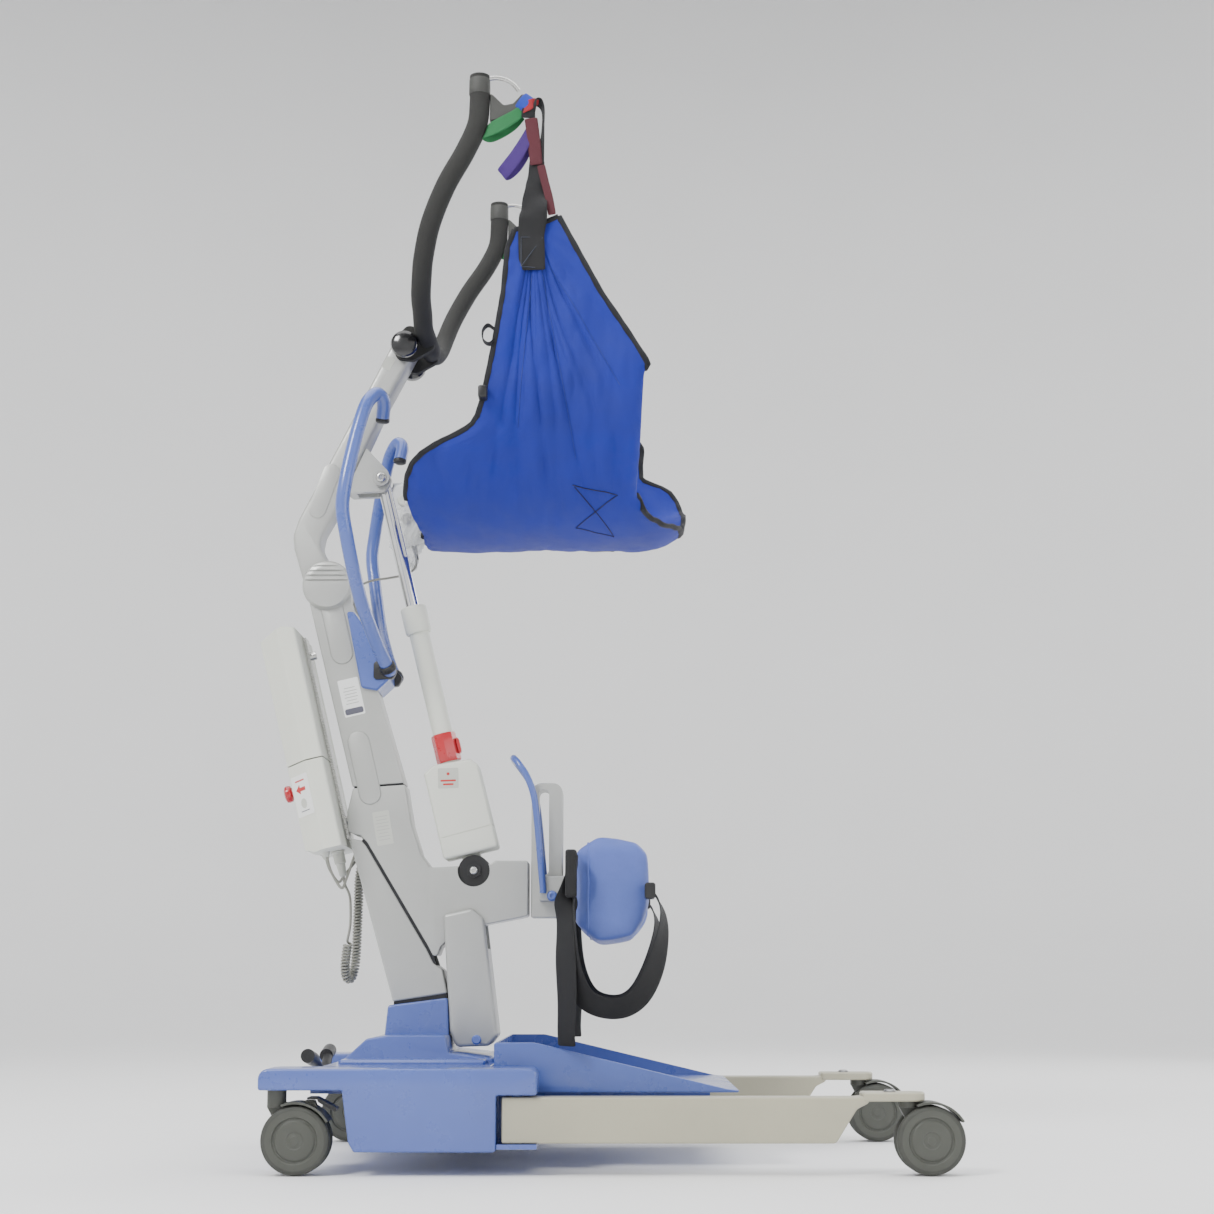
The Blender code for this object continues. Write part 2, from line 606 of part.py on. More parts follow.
def case_part(name, t0, t1):
    """A length of the chamfered battery and control case."""
    section = rounded([(BOX_N1, -BOX_HALF_Y, 5), (BOX_N1, BOX_HALF_Y, 5), (-45, BOX_HALF_Y, 4),
                       (BOX_N0, 55, 5), (BOX_N0, -55, 5), (-45, -BOX_HALF_Y, 4)], steps=2)
    ob = slab(name, section, t0, t1, plane=XY, move=(-SHIFT_X, 0, 0))
    c, s = math.cos(MAST_TILT), math.sin(MAST_TILT)
    m = Matrix(((c, 0, -s, 0), (0, 1, 0, 0), (s, 0, c, 0), (0, 0, 0, 1)))
    ob.data.transform(Matrix.Translation(P(MAST_REAR_POINT[0], 0, MAST_REAR_POINT[1])) @ m)
    return ob


pack = case_part("battery_pack", -50, 185)
roof = slab("roof", [in_mast(-110, 151), in_mast(-36, 169), in_mast(10, 155), in_mast(40, 260),
                     in_mast(-110, 260)], -120, 120)
battery_pack = finish(cut(pack, roof), white)
box = case_part("control_box", -204, -52)
under = slab("under", [in_mast(-110, -178), in_mast(-76, -190), in_mast(-62, -196), in_mast(10, -196),
                       in_mast(10, -260), in_mast(-110, -260)], -120, 120)
a, b = in_mast(BOX_N0 - 5, -87), in_mast(BOX_N0 + 8, -87)
well = rod("well", (a[0], 0, a[1]), (b[0], 0, b[1]), 9.8, 20)
control_box = finish(cut(box, under, well), white)

a = in_mast(BOX_N0 - 0.4, -87)
stop_button = finish(turned("stop_button", [(0, 20), (9, 20), (13, 18), (14, 14), (13, 9), (9, 7), (9, 0), (0, 0)],
                            (a[0], 0, a[1]), (-math.cos(MAST_TILT), 0, -math.sin(MAST_TILT)), 20), red)

GLAND_N = -36.0
g = in_mast(GLAND_N, -196.4)
down = Vector((math.sin(MAST_TILT), 0, -math.cos(MAST_TILT)))
cord_connector = finish(turned("cord_connector", [
    (0, 42), (4.5, 42), (6, 40), (7.5, 22), (9.5, 20), (9.5, 4), (11, 2), (11, 0), (0, 0)],
    (g[0], 0, g[1]), down, 16), black)

# ------------------------------------------------------------ push handles
clamp = slab("handle_bracket", rounded([
    (-438, 878, 4), (-424, 876, 6), (-352, 790, 10), (-350, 766, 8), (-386, 747, 6), (-412, 752, 6)],
    steps=2), -46, 46, bevel=3, segments=1, angle=60)
mast_room = slab("mast_room", [(-424 + 0.7, 591), (-341.5 + 0.7, 597), (-429.3, 893), (-520, 905)],
                 -MAST_HALF_Y - 0.4, MAST_HALF_Y + 0.4)
handle_bracket = finish(cut(clamp, mast_room), blue)

HANDLE = [(-366, -53, 779.5), (-379, -74, 807), (-391, -103, 840), (-403, -136, 879),
          (-412, -161, 921), (-421, -181, 972), (-427, -190, 1016), (-423, -191, 1057),
          (-412, -180, 1122), (-399.5, -168, 1178), (-391, -160, 1200), (-380, -150, 1212),
          (-371, -140, 1202), (-373.5, -128, 1175)]
push_handle_right, push_handle_left = pair(
    tube("handle", [(-366, -46.5, 779), (-366, -48.5, 779)] + through(HANDLE, 2), 11, 2),
                                           "push_handle_right", "push_handle_left", blue)

# ------------------------------------------------------ handset and its cord
HANDSET_TILT = math.radians(13)
hs = rounded([(-24, -56, 14), (24, -56, 14), (27, 10, 20), (25, 56, 16), (-25, 56, 16), (-27, 10, 20)], steps=2)
ca, sa = math.cos(HANDSET_TILT), math.sin(HANDSET_TILT)
HANDSET_C = (-366.0, 1092.0)
hs = [(HANDSET_C[0] + x * ca - z * sa, HANDSET_C[1] + x * sa + z * ca) for x, z in hs]
shell = slab("handset", hs, 180, 206, bevel=4, segments=1, angle=50)
clip = slab("clip", rounded([(-398, 1132), (-398, 1148, 6), (-378, 1150, 4), (-376, 1128)], steps=2), 182, 194)
grip_room = tube("grip_room", [(x, -y, z) for x, y, z in through(HANDLE, 2)], 12, 3)
handset = cut(join(shell, clip), grip_room)
for dz in (26, -8):
    cx, cz = HANDSET_C[0] - dz * sa, HANDSET_C[1] + dz * ca
    handset = cut(handset, rod("well", (cx, 170, cz), (cx, 183.5, cz), 10.7, 16))
finish(handset, white)
for tag, dz, shade in (("up", 26, paint("button_light", (0.5, 0.5, 0.48), 0.4)),
                       ("down", -8, paint("button_dark", (0.12, 0.12, 0.13), 0.4))):
    cx, cz = HANDSET_C[0] - dz * sa, HANDSET_C[1] + dz * ca
    b = turned("handset_button_" + tag, [(0, 4.0), (8, 4.0), (10, 2.5), (10, 0), (0, 0)],
               (cx, 179.6, cz), (0, -1, 0), 16)
    finish(b, shade)

c0 = (g[0] + down.x * 42.4, g[1] + down.z * 42.4)
LOWER_CORD = [(c0[0], 0, c0[1]), (c0[0] + 3.2, 0, c0[1] - 14), (-431, 1, 415), (-429.5, 4, 385),
              (-431, 8, 360), (-434.0, 13, 342)]
cord_lower = finish(tube("cord_lower", through(LOWER_CORD, 2), 2.75, 2), black)
COIL = [(-434.3, 13.3, 341.2), (-437.5, 19, 322), (-440, 26, 300), (-438.5, 36, 284), (-432.5, 46, 283),
        (-428, 54, 300), (-426, 57, 330), (-425, 58, 370), (-424, 58, 410), (-423, 58, 450),
        (-414, 58.5, 500), (-408, 60, 555), (-414, 62, 620), (-431, 64, 695), (-449, 66, 772),
        (-464, 70, 840), (-464, 80, 890), (-456, 92, 922)]
cord_coil = finish(tube("cord_coil", through(COIL, 2), 8, 1), black)
e = Vector(COIL[-1])
bottom = (HANDSET_C[0] + 56.5 * sa, HANDSET_C[1] - 56.5 * ca)
UPPER_CORD = [(-455.7, 92.5, 923.2), (-450, 104, 938), (-438, 122, 954), (-418, 143, 967),
              (-394, 163, 975), (-366, 180, 985), (-350, 188, 1000), (bottom[0] + 2.2, 192, bottom[1] - 14),
              (bottom[0] + 0.1, 192, bottom[1] - 0.5)]
cord_upper = finish(tube("cord_upper", through(UPPER_CORD, 2), 2.75, 2), black)

# ------------------------------------------------------- cradle and hooks
CRADLE_HALF = [(-310, 0, 1335), (-312, -36, 1338), (-315, -70, 1346), (-313, -112, 1358), (-312, -150, 1372),
               (-308, -182, 1394), (-303, -205, 1420), (-290, -230, 1465), (-265, -248, 1520),
               (-235, -258, 1570), (-216, -262, 1612), (-212, -262, 1650), (-212, -262, 1693)]
CRADLE_R = 16.0
whole = CRADLE_HALF[:0:-1] + [(x, -y, z) for x, y, z in CRADLE_HALF]
bar = tube("cradle_bar", through(whole, 2), CRADLE_R, 2)
yoke = []
for s in (-1, 1):
    yoke.append(slab("yoke", rounded([(-366, 1306, 14), (-366, 1340, 14), (-345, 1362, 12), (-300, 1352, 12),
                                      (-300, 1322, 12), (-335, 1302, 10)], steps=2),
                     min(s * 29.5, s * 42), max(s * 29.5, s * 42)))
bore = rod("bore", (-347, -60, 1322), (-347, 60, 1322), 9.5, 16)
cradle_bar = finish(cut(join(bar, *yoke), bore), foam)

KNOB = [(0, 24), (14, 24), (21, 20), (23, 14), (21, 6), (12, 2), (9, 0), (9, -42.6), (0, -42.6)]
shaft = rod("cradle_axle", (-347, -60, 1322), (-347, 60, 1322), 9, 16)
knobs = []
for s in (-1, 1):
    knobs.append(turned("knob", [(0, 24), (14, 24), (21, 20), (23, 14), (21, 6), (12, 2), (12, 0), (0, 0)],
                        (-347, s * 52, 1322), (0, s, 0), 14))
cradle_axle = finish(join(shaft, *knobs), black)

hook = slab("hook", rounded([
    (-195.5, 1664, 2), (-190, 1660, 4), (-174, 1644, 6), (-159, 1647, 8), (-146, 1662, 6), (-134, 1662, 4),
    (-131, 1640, 8), (-149, 1629, 12), (-178, 1620, 14), (-195.5, 1618, 2)], steps=2),
    -HOOK_Y - 6, -HOOK_Y + 6, bevel=1.5, segments=1, angle=60)
hook_right, hook_left = pair(hook, "hook_right", "hook_left", steel)
gate = tube("gate", through([
    (-193, -HOOK_Y, 1690), (-186, -HOOK_Y, 1691), (-172, -HOOK_Y, 1688), (-159, -HOOK_Y, 1680),
    (-150.5, -HOOK_Y, 1669.5)], 2), 2.5, 2)
gate_right, gate_left = pair(gate, "gate_right", "gate_left", steel)

# ------------------------------------------------------------------- sling
profile = rounded([
    (-121, 1604, 3), (-112, 1604, 3), (-100, 1555, 6), (-88, 1468, 6), (-54, 1420, 20), (-22, 1340, 20),
    (10, 1288, 20), (46, 1236, 20), (46, 1213, 10), (42, 1116, 30), (38, 1066, 12), (70, 1052, 20),
    (114, 1032, 14), (124, 1012, 12), (92, 985, 20), (40, 980, 10), (-91, 985), (-306, 985, 20),
    (-322, 1012, 12), (-334, 1040, 14), (-326, 1068, 14), (-303, 1098, 20), (-262, 1118, 20),
    (-218, 1135, 30), (-204, 1175, 30), (-186, 1280, 40), (-170, 1400, 20), (-152, 1462, 8),
    (-138, 1476, 6), (-136, 1555, 6)], steps=2)
sheet_side = slab("sling", profile, -SLING_Y - 20, SLING_Y + 20)


def bend(r, low, n=20):
    """Half an ellipse under the sling's straight sides, in Y and Z."""
    return [(r * math.cos(math.pi + math.pi * i / n), SLING_ARC_Z + (SLING_ARC_Z - low)
             * math.sin(math.pi + math.pi * i / n)) for i in range(n + 1)]


outer = [(-SLING_Y - SLING_T / 2, 1700)] + bend(SLING_Y + SLING_T / 2, SLING_LOW_Z - SLING_T / 2) \
    + [(SLING_Y + SLING_T / 2, 1700)]
inner = [(SLING_Y - SLING_T / 2, 1700)] + bend(SLING_Y - SLING_T / 2, SLING_LOW_Z + SLING_T / 2)[::-1] \
    + [(-SLING_Y + SLING_T / 2, 1700)]
band = slab("band", outer + inner, -420, 160, plane=YZ, move=(0, 0, 0))
sling = finish(keep(sheet_side, band), fabric)

# --------------------------------------------------------------- knee pad
rail = slab("knee_rail", rounded([
    (-134.5, 379.5, 3), (-134.5, 597.5, 16), (-84, 597.5, 16), (-84, 379.5, 3)], steps=2),
    -RAIL_HALF_Y, RAIL_HALF_Y, bevel=2, segments=1, angle=50)
rail_slot = slab("rail_slot", rounded([
    (-123, 448, 8), (-123, 587, 8), (-106, 587, 8), (-106, 448, 8)], steps=2), -50, 50)
knee_rail = finish(cut(rail, rail_slot), grey)

carriage = slab("knee_carriage", rounded([
    (-121, 405, 4), (-121, 446, 4), (-72, 446, 4), (-72, 405, 4)], steps=2), -46, 46, bevel=2, angle=50)
neck = slab("neck", [(-80, 398), (-80, 450), (-60, 450), (-60, 398)], -45, 45)
rail_room = slab("rail_room", [(-140, 380), (-140, 470), (-83.4, 470), (-83.4, 380)],
                 -RAIL_HALF_Y - 0.6, RAIL_HALF_Y + 0.6)
knee_carriage = finish(cut(join(carriage, neck), rail_room), paint("carriage_black", BLACK, 0.5))

LEVER = [(-114.6, -52, 418), (-114.6, -52, 427), (-119, -52, 475), (-124, -52, 530), (-130, -52, 575),
         (-141, -51, 606), (-154, -46, 626), (-163, -34, 637), (-165, -12, 639)]
lever = tube("knee_lever", through(LEVER[:-1] + [(-165, -12, 639), (-165, 12, 639)]
                                   + [(x, -y, z) for x, y, z in LEVER[-2::-1]], 1), 5.5, 2)
knee_lever = finish(lever, blue)

pad = slab("knee_pad", rounded([
    (-59, 481, 12), (-23, 503, 14), (37, 492, 14), (52, 473, 14), (54, 404, 14), (48, 372, 12),
    (32, 346, 14), (-23, 334, 14), (-59, 361, 12)], steps=2), -PAD_HALF_Y, PAD_HALF_Y, bevel=10, segments=1,
    angle=50)
for s in (-1, 1):
    dish = rod("dish", (108, s * 104, 300), (108, s * 104, 540), 88, 32)
    pad = cut(pad, dish)
knee_pad = finish(pad, vinyl)

strap = ribbon("strap", through([
    (-57, 470), (-60, 430), (-64, 380), (-66, 320), (-63, 280), (-45, 250), (-18, 238), (16, 240),
    (42, 262), (62, 300), (74, 345), (76, 375), (68, 400), (57, 420)], 2), 2.6, -252, -214)
patch = block("patch", -59.5, -48, -252, -211, 440, 472)
buckle = block("buckle", 40, 62, -254, -211, 404, 428, 2)
strap = join(strap, patch, buckle)
knee_strap_right, knee_strap_left = pair(strap, "knee_strap_right", "knee_strap_left", webbing)

# ------------------------------------------------ an empty on every joint's axis
def pivot(name, point, under, *pieces):
    """An empty on a joint's axis, carrying the pieces that move with it."""
    e = bpy.data.objects.new(name, None)
    e.empty_display_size = 0.03
    home.objects.link(e)
    if under:
        e.parent = under
        e.matrix_parent_inverse = under.matrix_world.inverted()
    e.location = P(*point)
    bpy.context.view_layer.update()
    for p in pieces:
        p.parent = e
        p.matrix_parent_inverse = e.matrix_world.inverted()
    bpy.context.view_layer.update()
    return e


lift = pivot("joint_boom_lift", (PIVOT[0], 0, PIVOT[1]), None, boom, boom_gusset, cradle_bar, cradle_axle,
             hook_right, hook_left)
pivot("joint_sling_swing", (-166, 0, 1646), lift, sling)
pivot("joint_gate_right", (-193, -HOOK_Y, 1690), lift, gate_right)
pivot("joint_gate_left", (-193, HOOK_Y, 1690), lift, gate_left)
tilt = pivot("joint_actuator_tilt", (ACT_LOW[0], 0, ACT_LOW[1]), None, actuator_housing, actuator_tube)
pivot("joint_actuator_stroke", (ACT_HIGH[0], 0, ACT_HIGH[1]), tilt, actuator_rod)
turn = on_act(0, 208)
pivot("joint_release_turn", (turn[0], 0, turn[1]), tilt, release_ring)
pivot("joint_pedal_rock", (-470, 0, 131), None, spreader_pedal)
for side, leg_piece in ((-1, leg_right), (1, leg_left)):
    tag = "right" if side < 0 else "left"
    spread = pivot("joint_leg_spread_" + tag, (LEG_PIVOT_X, side * LEG_Y, 80), None, leg_piece)
    for end, stem_x, trail, under in (("front", FRONT_STEM_X, FRONT_TRAIL, spread),
                                      ("rear", REAR_STEM_X, REAR_TRAIL, None)):
        swivel = pivot("joint_%s_swivel_%s" % (end, tag), (stem_x, side * TREAD_Y, 100), under,
                       bpy.data.objects["%s_caster_%s" % (end, tag)])
        pivot("joint_%s_roll_%s" % (end, tag), (stem_x + trail, side * TREAD_Y, AXLE_Z), swivel,
              bpy.data.objects["%s_wheel_%s" % (end, tag)])
        if end == "rear":
            pivot("joint_brake_" + tag, (-439, side * TREAD_Y, 110), swivel, bpy.data.objects["brake_pedal_" + tag])
low_case = in_mast(-48, -50)
pivot("joint_battery_lift_out", (low_case[0], 0, low_case[1]), None, battery_pack)
pivot("joint_stop_press", (a[0], 0, a[1]), None, stop_button)
for tag, dz in (("up", 26), ("down", -8)):
    pivot("joint_press_" + tag, (HANDSET_C[0] - dz * sa, 180, HANDSET_C[1] + dz * ca), None,
          bpy.data.objects["handset_button_" + tag])
height = pivot("joint_knee_height", (-109, 0, 425), None, knee_carriage, knee_pad, knee_strap_right,
               knee_strap_left)
pivot("joint_lever_throw", (-114.6, 0, 423), height, knee_lever)

bpy.data.collections.remove(tools)
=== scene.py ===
"""Patient lift hoist: the detailed visual model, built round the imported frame."""
import json
import math
import random

import bmesh
import bpy
from mathutils import Matrix, Vector, noise


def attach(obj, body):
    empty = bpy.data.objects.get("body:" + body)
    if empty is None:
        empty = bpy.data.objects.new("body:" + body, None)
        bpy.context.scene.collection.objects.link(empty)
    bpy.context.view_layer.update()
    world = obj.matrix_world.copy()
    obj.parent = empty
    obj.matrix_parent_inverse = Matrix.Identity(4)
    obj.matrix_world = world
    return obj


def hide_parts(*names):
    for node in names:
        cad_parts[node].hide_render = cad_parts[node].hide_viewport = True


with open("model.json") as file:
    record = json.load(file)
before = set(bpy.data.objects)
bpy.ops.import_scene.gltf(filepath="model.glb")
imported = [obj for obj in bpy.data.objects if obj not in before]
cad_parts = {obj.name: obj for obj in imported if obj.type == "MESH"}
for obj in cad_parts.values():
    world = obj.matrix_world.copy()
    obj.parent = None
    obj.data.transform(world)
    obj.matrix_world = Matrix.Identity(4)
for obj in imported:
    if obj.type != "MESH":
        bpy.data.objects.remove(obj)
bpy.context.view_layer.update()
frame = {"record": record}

BODY_OF = {n: b for b, v in frame["record"]["behaviour"]["bodies"].items() for n in v}

# ------------------------------------------------------------------- camera
def make_camera():
    cd = bpy.data.cameras.new("camera")
    cam = bpy.data.objects.new("camera", cd)
    bpy.context.scene.collection.objects.link(cam)
    cam.location = (0.0383, -3.2438, 0.2869)
    cam.rotation_euler = (math.pi / 2 + 0.1238, 0, 0)
    cd.sensor_width = 36.0
    cd.lens = 58.93
    cd.shift_x = -0.0086
    cd.shift_y = 0.10
    cd.clip_end = 60
    bpy.context.scene.camera = cam


make_camera()


# ---------------------------------------------------------------- materials
def tree(name):
    m = bpy.data.materials.new(name)
    m.use_nodes = True
    nt = m.node_tree
    return m, nt, nt.nodes["Principled BSDF"]


def put(nt, kind, **kw):
    n = nt.nodes.new(kind)
    for k, v in kw.items():
        if k.startswith("_"):
            n.inputs[k[1:].replace("_", " ")].default_value = v
        else:
            setattr(n, k, v)
    return n


def noise_node(nt, coord, scale, detail=2.0, rough=0.5):
    n = put(nt, "ShaderNodeTexNoise", _Scale=scale, _Detail=detail, _Roughness=rough)
    nt.links.new(coord, n.inputs["Vector"])
    return n.outputs["Fac"]


def ramp(nt, fac, lo, hi, a=0.3, b=0.7):
    r = put(nt, "ShaderNodeMapRange")
    r.inputs["From Min"].default_value = a
    r.inputs["From Max"].default_value = b
    r.inputs["To Min"].default_value = lo
    r.inputs["To Max"].default_value = hi
    nt.links.new(fac, r.inputs["Value"])
    return r.outputs["Result"]


def mixrgb(nt, fac, a, b, mode="MIX"):
    m = put(nt, "ShaderNodeMix", data_type="RGBA", blend_type=mode)
    for sock, v in ((0, fac), (6, a), (7, b)):
        if isinstance(v, (int, float)):
            m.inputs[sock].default_value = v
        elif isinstance(v, tuple):
            m.inputs[sock].default_value = (*v, 1.0)
        else:
            nt.links.new(v, m.inputs[sock])
    return m.outputs[2]


def math_node(nt, op, a, b=None, c=None):
    m = put(nt, "ShaderNodeMath", operation=op)
    for i, v in enumerate((a, b, c)):
        if v is None:
            continue
        if isinstance(v, (int, float)):
            m.inputs[i].default_value = v
        else:
            nt.links.new(v, m.inputs[i])
    return m.outputs[0]


def bump(nt, s, height, strength, dist, after=None):
    b = put(nt, "ShaderNodeBump")
    b.inputs["Strength"].default_value = strength
    b.inputs["Distance"].default_value = dist
    nt.links.new(height, b.inputs["Height"])
    if after is not None:
        nt.links.new(after, b.inputs["Normal"])
    nt.links.new(b.outputs["Normal"], s.inputs["Normal"])
    return b.outputs["Normal"]


def shade(c, k):
    return tuple(min(1.0, max(0.0, x * k)) for x in c)


def moulded(name, colour, rough=0.42, grain=1400.0, depth=0.00006, vary=0.07, coat=0.0, edge=0.25, peel=90.0, metallic=0.0):
    """Moulded plastic or coated metal: grain, slight colour drift, scuffed edges."""
    m, nt, s = tree(name)
    co = put(nt, "ShaderNodeTexCoord").outputs["Object"]
    broad = noise_node(nt, co, 5.0, 4.0, 0.6)
    col = mixrgb(nt, ramp(nt, broad, 0, 1), shade(colour, 1 - vary), shade(colour, 1 + vary))
    speck = noise_node(nt, co, 260.0, 3.0, 0.7)
    col = mixrgb(nt, ramp(nt, speck, 0.0, 0.14, 0.5, 0.85), col, shade(colour, 0.82))
    geo = put(nt, "ShaderNodeNewGeometry")
    soft = put(nt, "ShaderNodeBevel", samples=4)
    soft.inputs["Radius"].default_value = 0.0016
    dot = put(nt, "ShaderNodeVectorMath", operation="DOT_PRODUCT")
    nt.links.new(soft.outputs["Normal"], dot.inputs[0])
    nt.links.new(geo.outputs["Normal"], dot.inputs[1])
    worn = ramp(nt, dot.outputs["Value"], edge, 0.0, 0.86, 0.985)
    scuff = noise_node(nt, co, 45.0, 6.0, 0.75)
    worn = math_node(nt, "MULTIPLY", worn, ramp(nt, scuff, 0.0, 1.0, 0.35, 0.65))
    col = mixrgb(nt, worn, col, tuple(min(1.0, c * 0.6 + 0.32) for c in colour))
    nt.links.new(col, s.inputs["Base Color"])
    r = noise_node(nt, co, 22.0, 5.0, 0.65)
    nt.links.new(ramp(nt, r, max(0.03, rough - 0.09), min(1.0, rough + 0.1), 0.3, 0.7), s.inputs["Roughness"])
    if metallic:
        s.inputs["Metallic"].default_value = metallic
    if coat:
        s.inputs["Coat Weight"].default_value = coat
        s.inputs["Coat Roughness"].default_value = 0.12
    g = noise_node(nt, co, grain, 2.0, 0.5)
    p = noise_node(nt, co, peel, 2.0, 0.5)
    first = bump(nt, s, p, 0.5, depth * 4.0)
    bump(nt, s, g, 0.8, depth, first)
    return m


def metal(name, colour, rough=0.22, scratch=1.0, axis=(0.05, 1.0, 1.0)):
    m, nt, s = tree(name)
    tc = put(nt, "ShaderNodeTexCoord").outputs["Object"]
    mp = put(nt, "ShaderNodeMapping")
    mp.inputs["Scale"].default_value = (900 * axis[0], 900 * axis[1], 900 * axis[2])
    nt.links.new(tc, mp.inputs["Vector"])
    fine = noise_node(nt, mp.outputs["Vector"], 1.0, 3.0, 0.6)
    smudge = noise_node(nt, tc, 18.0, 4.0, 0.6)
    nt.links.new(mixrgb(nt, ramp(nt, smudge, 0, 1), shade(colour, 0.88), shade(colour, 1.04)), s.inputs["Base Color"])
    s.inputs["Metallic"].default_value = 1.0
    mix = math_node(nt, "ADD", ramp(nt, fine, -0.05, 0.07), ramp(nt, smudge, rough - 0.04, rough + 0.08))
    nt.links.new(mix, s.inputs["Roughness"])
    bump(nt, s, fine, 0.25 * scratch, 0.00004)
    return m


def rubbery(name, colour, rough=0.75, scale=420.0, depth=0.0003, vary=0.2):
    """Foam sleeve or tread: pitted, with painted shade in the pits, slightly dusty."""
    m, nt, s = tree(name)
    co = put(nt, "ShaderNodeTexCoord").outputs["Object"]
    v = put(nt, "ShaderNodeTexVoronoi", _Scale=scale)
    nt.links.new(co, v.inputs["Vector"])
    pits = ramp(nt, v.outputs["Distance"], 0.0, 1.0, 0.0, 0.55)
    n = noise_node(nt, co, 14.0, 5.0, 0.7)
    col = mixrgb(nt, ramp(nt, n, 0, 1), shade(colour, 1 - vary), tuple(c * (1 + vary) + 0.008 for c in colour))
    # painted shade in the pits: the colour darkens towards each pit's middle
    col = mixrgb(nt, ramp(nt, pits, 0.35, 0.0, 0.0, 1.0), col, shade(colour, 0.4))
    nt.links.new(col, s.inputs["Base Color"])
    nt.links.new(ramp(nt, n, rough - 0.08, min(1, rough + 0.12)), s.inputs["Roughness"])
    soft = noise_node(nt, co, 60.0, 3.0, 0.6)
    a = bump(nt, s, soft, 0.35, 0.0012)
    bump(nt, s, pits, 0.6, depth, a)
    return m


def woven(name, colour, pitch=0.0011, attr="cloth", twill=False, rough=0.82, vary=0.16, sheen=0.25, depth=0.00035,
          dark=0.45, quilting=0.0):
    """Cloth or webbing: warp and weft from the piece's own flat coordinates."""
    m, nt, s = tree(name)
    at = put(nt, "ShaderNodeAttribute", attribute_name=attr)
    sep = put(nt, "ShaderNodeSeparateXYZ")
    nt.links.new(at.outputs["Vector"], sep.inputs[0])
    u, v = sep.outputs[0], sep.outputs[1]
    k = math.pi / pitch
    if twill:
        v2 = math_node(nt, "ADD", v, u)
    else:
        v2 = v
    su = math_node(nt, "ABSOLUTE", math_node(nt, "SINE", math_node(nt, "MULTIPLY", u, k)))
    sv = math_node(nt, "ABSOLUTE", math_node(nt, "SINE", math_node(nt, "MULTIPLY", v2, k)))
    check = math_node(nt, "MULTIPLY", math_node(nt, "SINE", math_node(nt, "MULTIPLY", u, k)),
                      math_node(nt, "SINE", math_node(nt, "MULTIPLY", v2, k)))
    over = ramp(nt, check, 0.0, 1.0, -0.4, 0.4)
    height = mixrgb(nt, over, su, sv)
    hb = put(nt, "ShaderNodeRGBToBW")
    nt.links.new(height, hb.inputs[0])
    h = hb.outputs[0]
    co = put(nt, "ShaderNodeTexCoord").outputs["Object"]
    # painted shade of wrinkles: broad noise makes the cloth darker and lighter in patches
    broad = noise_node(nt, co, 7.0, 4.0, 0.6)
    col = mixrgb(nt, ramp(nt, broad, 0, 1), shade(colour, 1 - vary), shade(colour, 1 + vary))
    # painted shade between the threads: the colour darkens where the weave is low
    col = mixrgb(nt, ramp(nt, h, dark, 0.0, 0.05, 0.75), col, shade(colour, 0.3))
    fuzz = noise_node(nt, co, 900.0, 2.0, 0.6)
    col = mixrgb(nt, ramp(nt, fuzz, 0.0, 0.14, 0.5, 0.8), col, tuple(min(1, c * 1.5 + 0.012) for c in colour))
    nt.links.new(col, s.inputs["Base Color"])
    nt.links.new(ramp(nt, broad, rough - 0.06, min(1.0, rough + 0.08)), s.inputs["Roughness"])
    s.inputs["Sheen Weight"].default_value = sheen
    s.inputs["Sheen Roughness"].default_value = 0.4
    crumple = noise_node(nt, co, 26.0, 5.0, 0.55)
    a = bump(nt, s, crumple, 0.35, 0.004)
    bump(nt, s, h, 0.7, depth, a)
    return m


def vinyl_like(name, colour, rough=0.5, scale=900.0):
    m, nt, s = tree(name)
    co = put(nt, "ShaderNodeTexCoord").outputs["Object"]
    v = put(nt, "ShaderNodeTexVoronoi", _Scale=scale, feature="DISTANCE_TO_EDGE")
    nt.links.new(co, v.inputs["Vector"])
    cells = ramp(nt, v.outputs["Distance"], 0.0, 1.0, 0.0, 0.12)
    broad = noise_node(nt, co, 9.0, 4.0, 0.6)
    col = mixrgb(nt, ramp(nt, broad, 0, 1), shade(colour, 0.88), shade(colour, 1.12))
    # painted shade in the grain's grooves: the colour darkens at the cell edges
    col = mixrgb(nt, ramp(nt, cells, 0.3, 0.0), col, shade(colour, 0.6))
    nt.links.new(col, s.inputs["Base Color"])
    nt.links.new(ramp(nt, broad, rough - 0.08, rough + 0.1), s.inputs["Roughness"])
    wr = noise_node(nt, co, 38.0, 5.0, 0.6)
    a = bump(nt, s, wr, 0.3, 0.003)
    bump(nt, s, cells, 0.5, 0.00015, a)
    s.inputs["Sheen Weight"].default_value = 0.1
    return m


def clear_film(name):
    m, nt, s = tree(name)
    co = put(nt, "ShaderNodeTexCoord").outputs["Object"]
    n = noise_node(nt, co, 60.0, 5.0, 0.6)
    nt.links.new(mixrgb(nt, ramp(nt, n, 0, 1), (0.86, 0.88, 0.86), (0.97, 0.98, 0.97)), s.inputs["Base Color"])
    nt.links.new(ramp(nt, n, 0.12, 0.3), s.inputs["Roughness"])
    s.inputs["Alpha"].default_value = 0.42
    bump(nt, s, n, 0.8, 0.004)
    return m


BLUE = (0.070, 0.118, 0.395)
GREY = (0.43, 0.435, 0.415)
CREAM = (0.41, 0.39, 0.29)
OFFWHITE = (0.66, 0.675, 0.60)

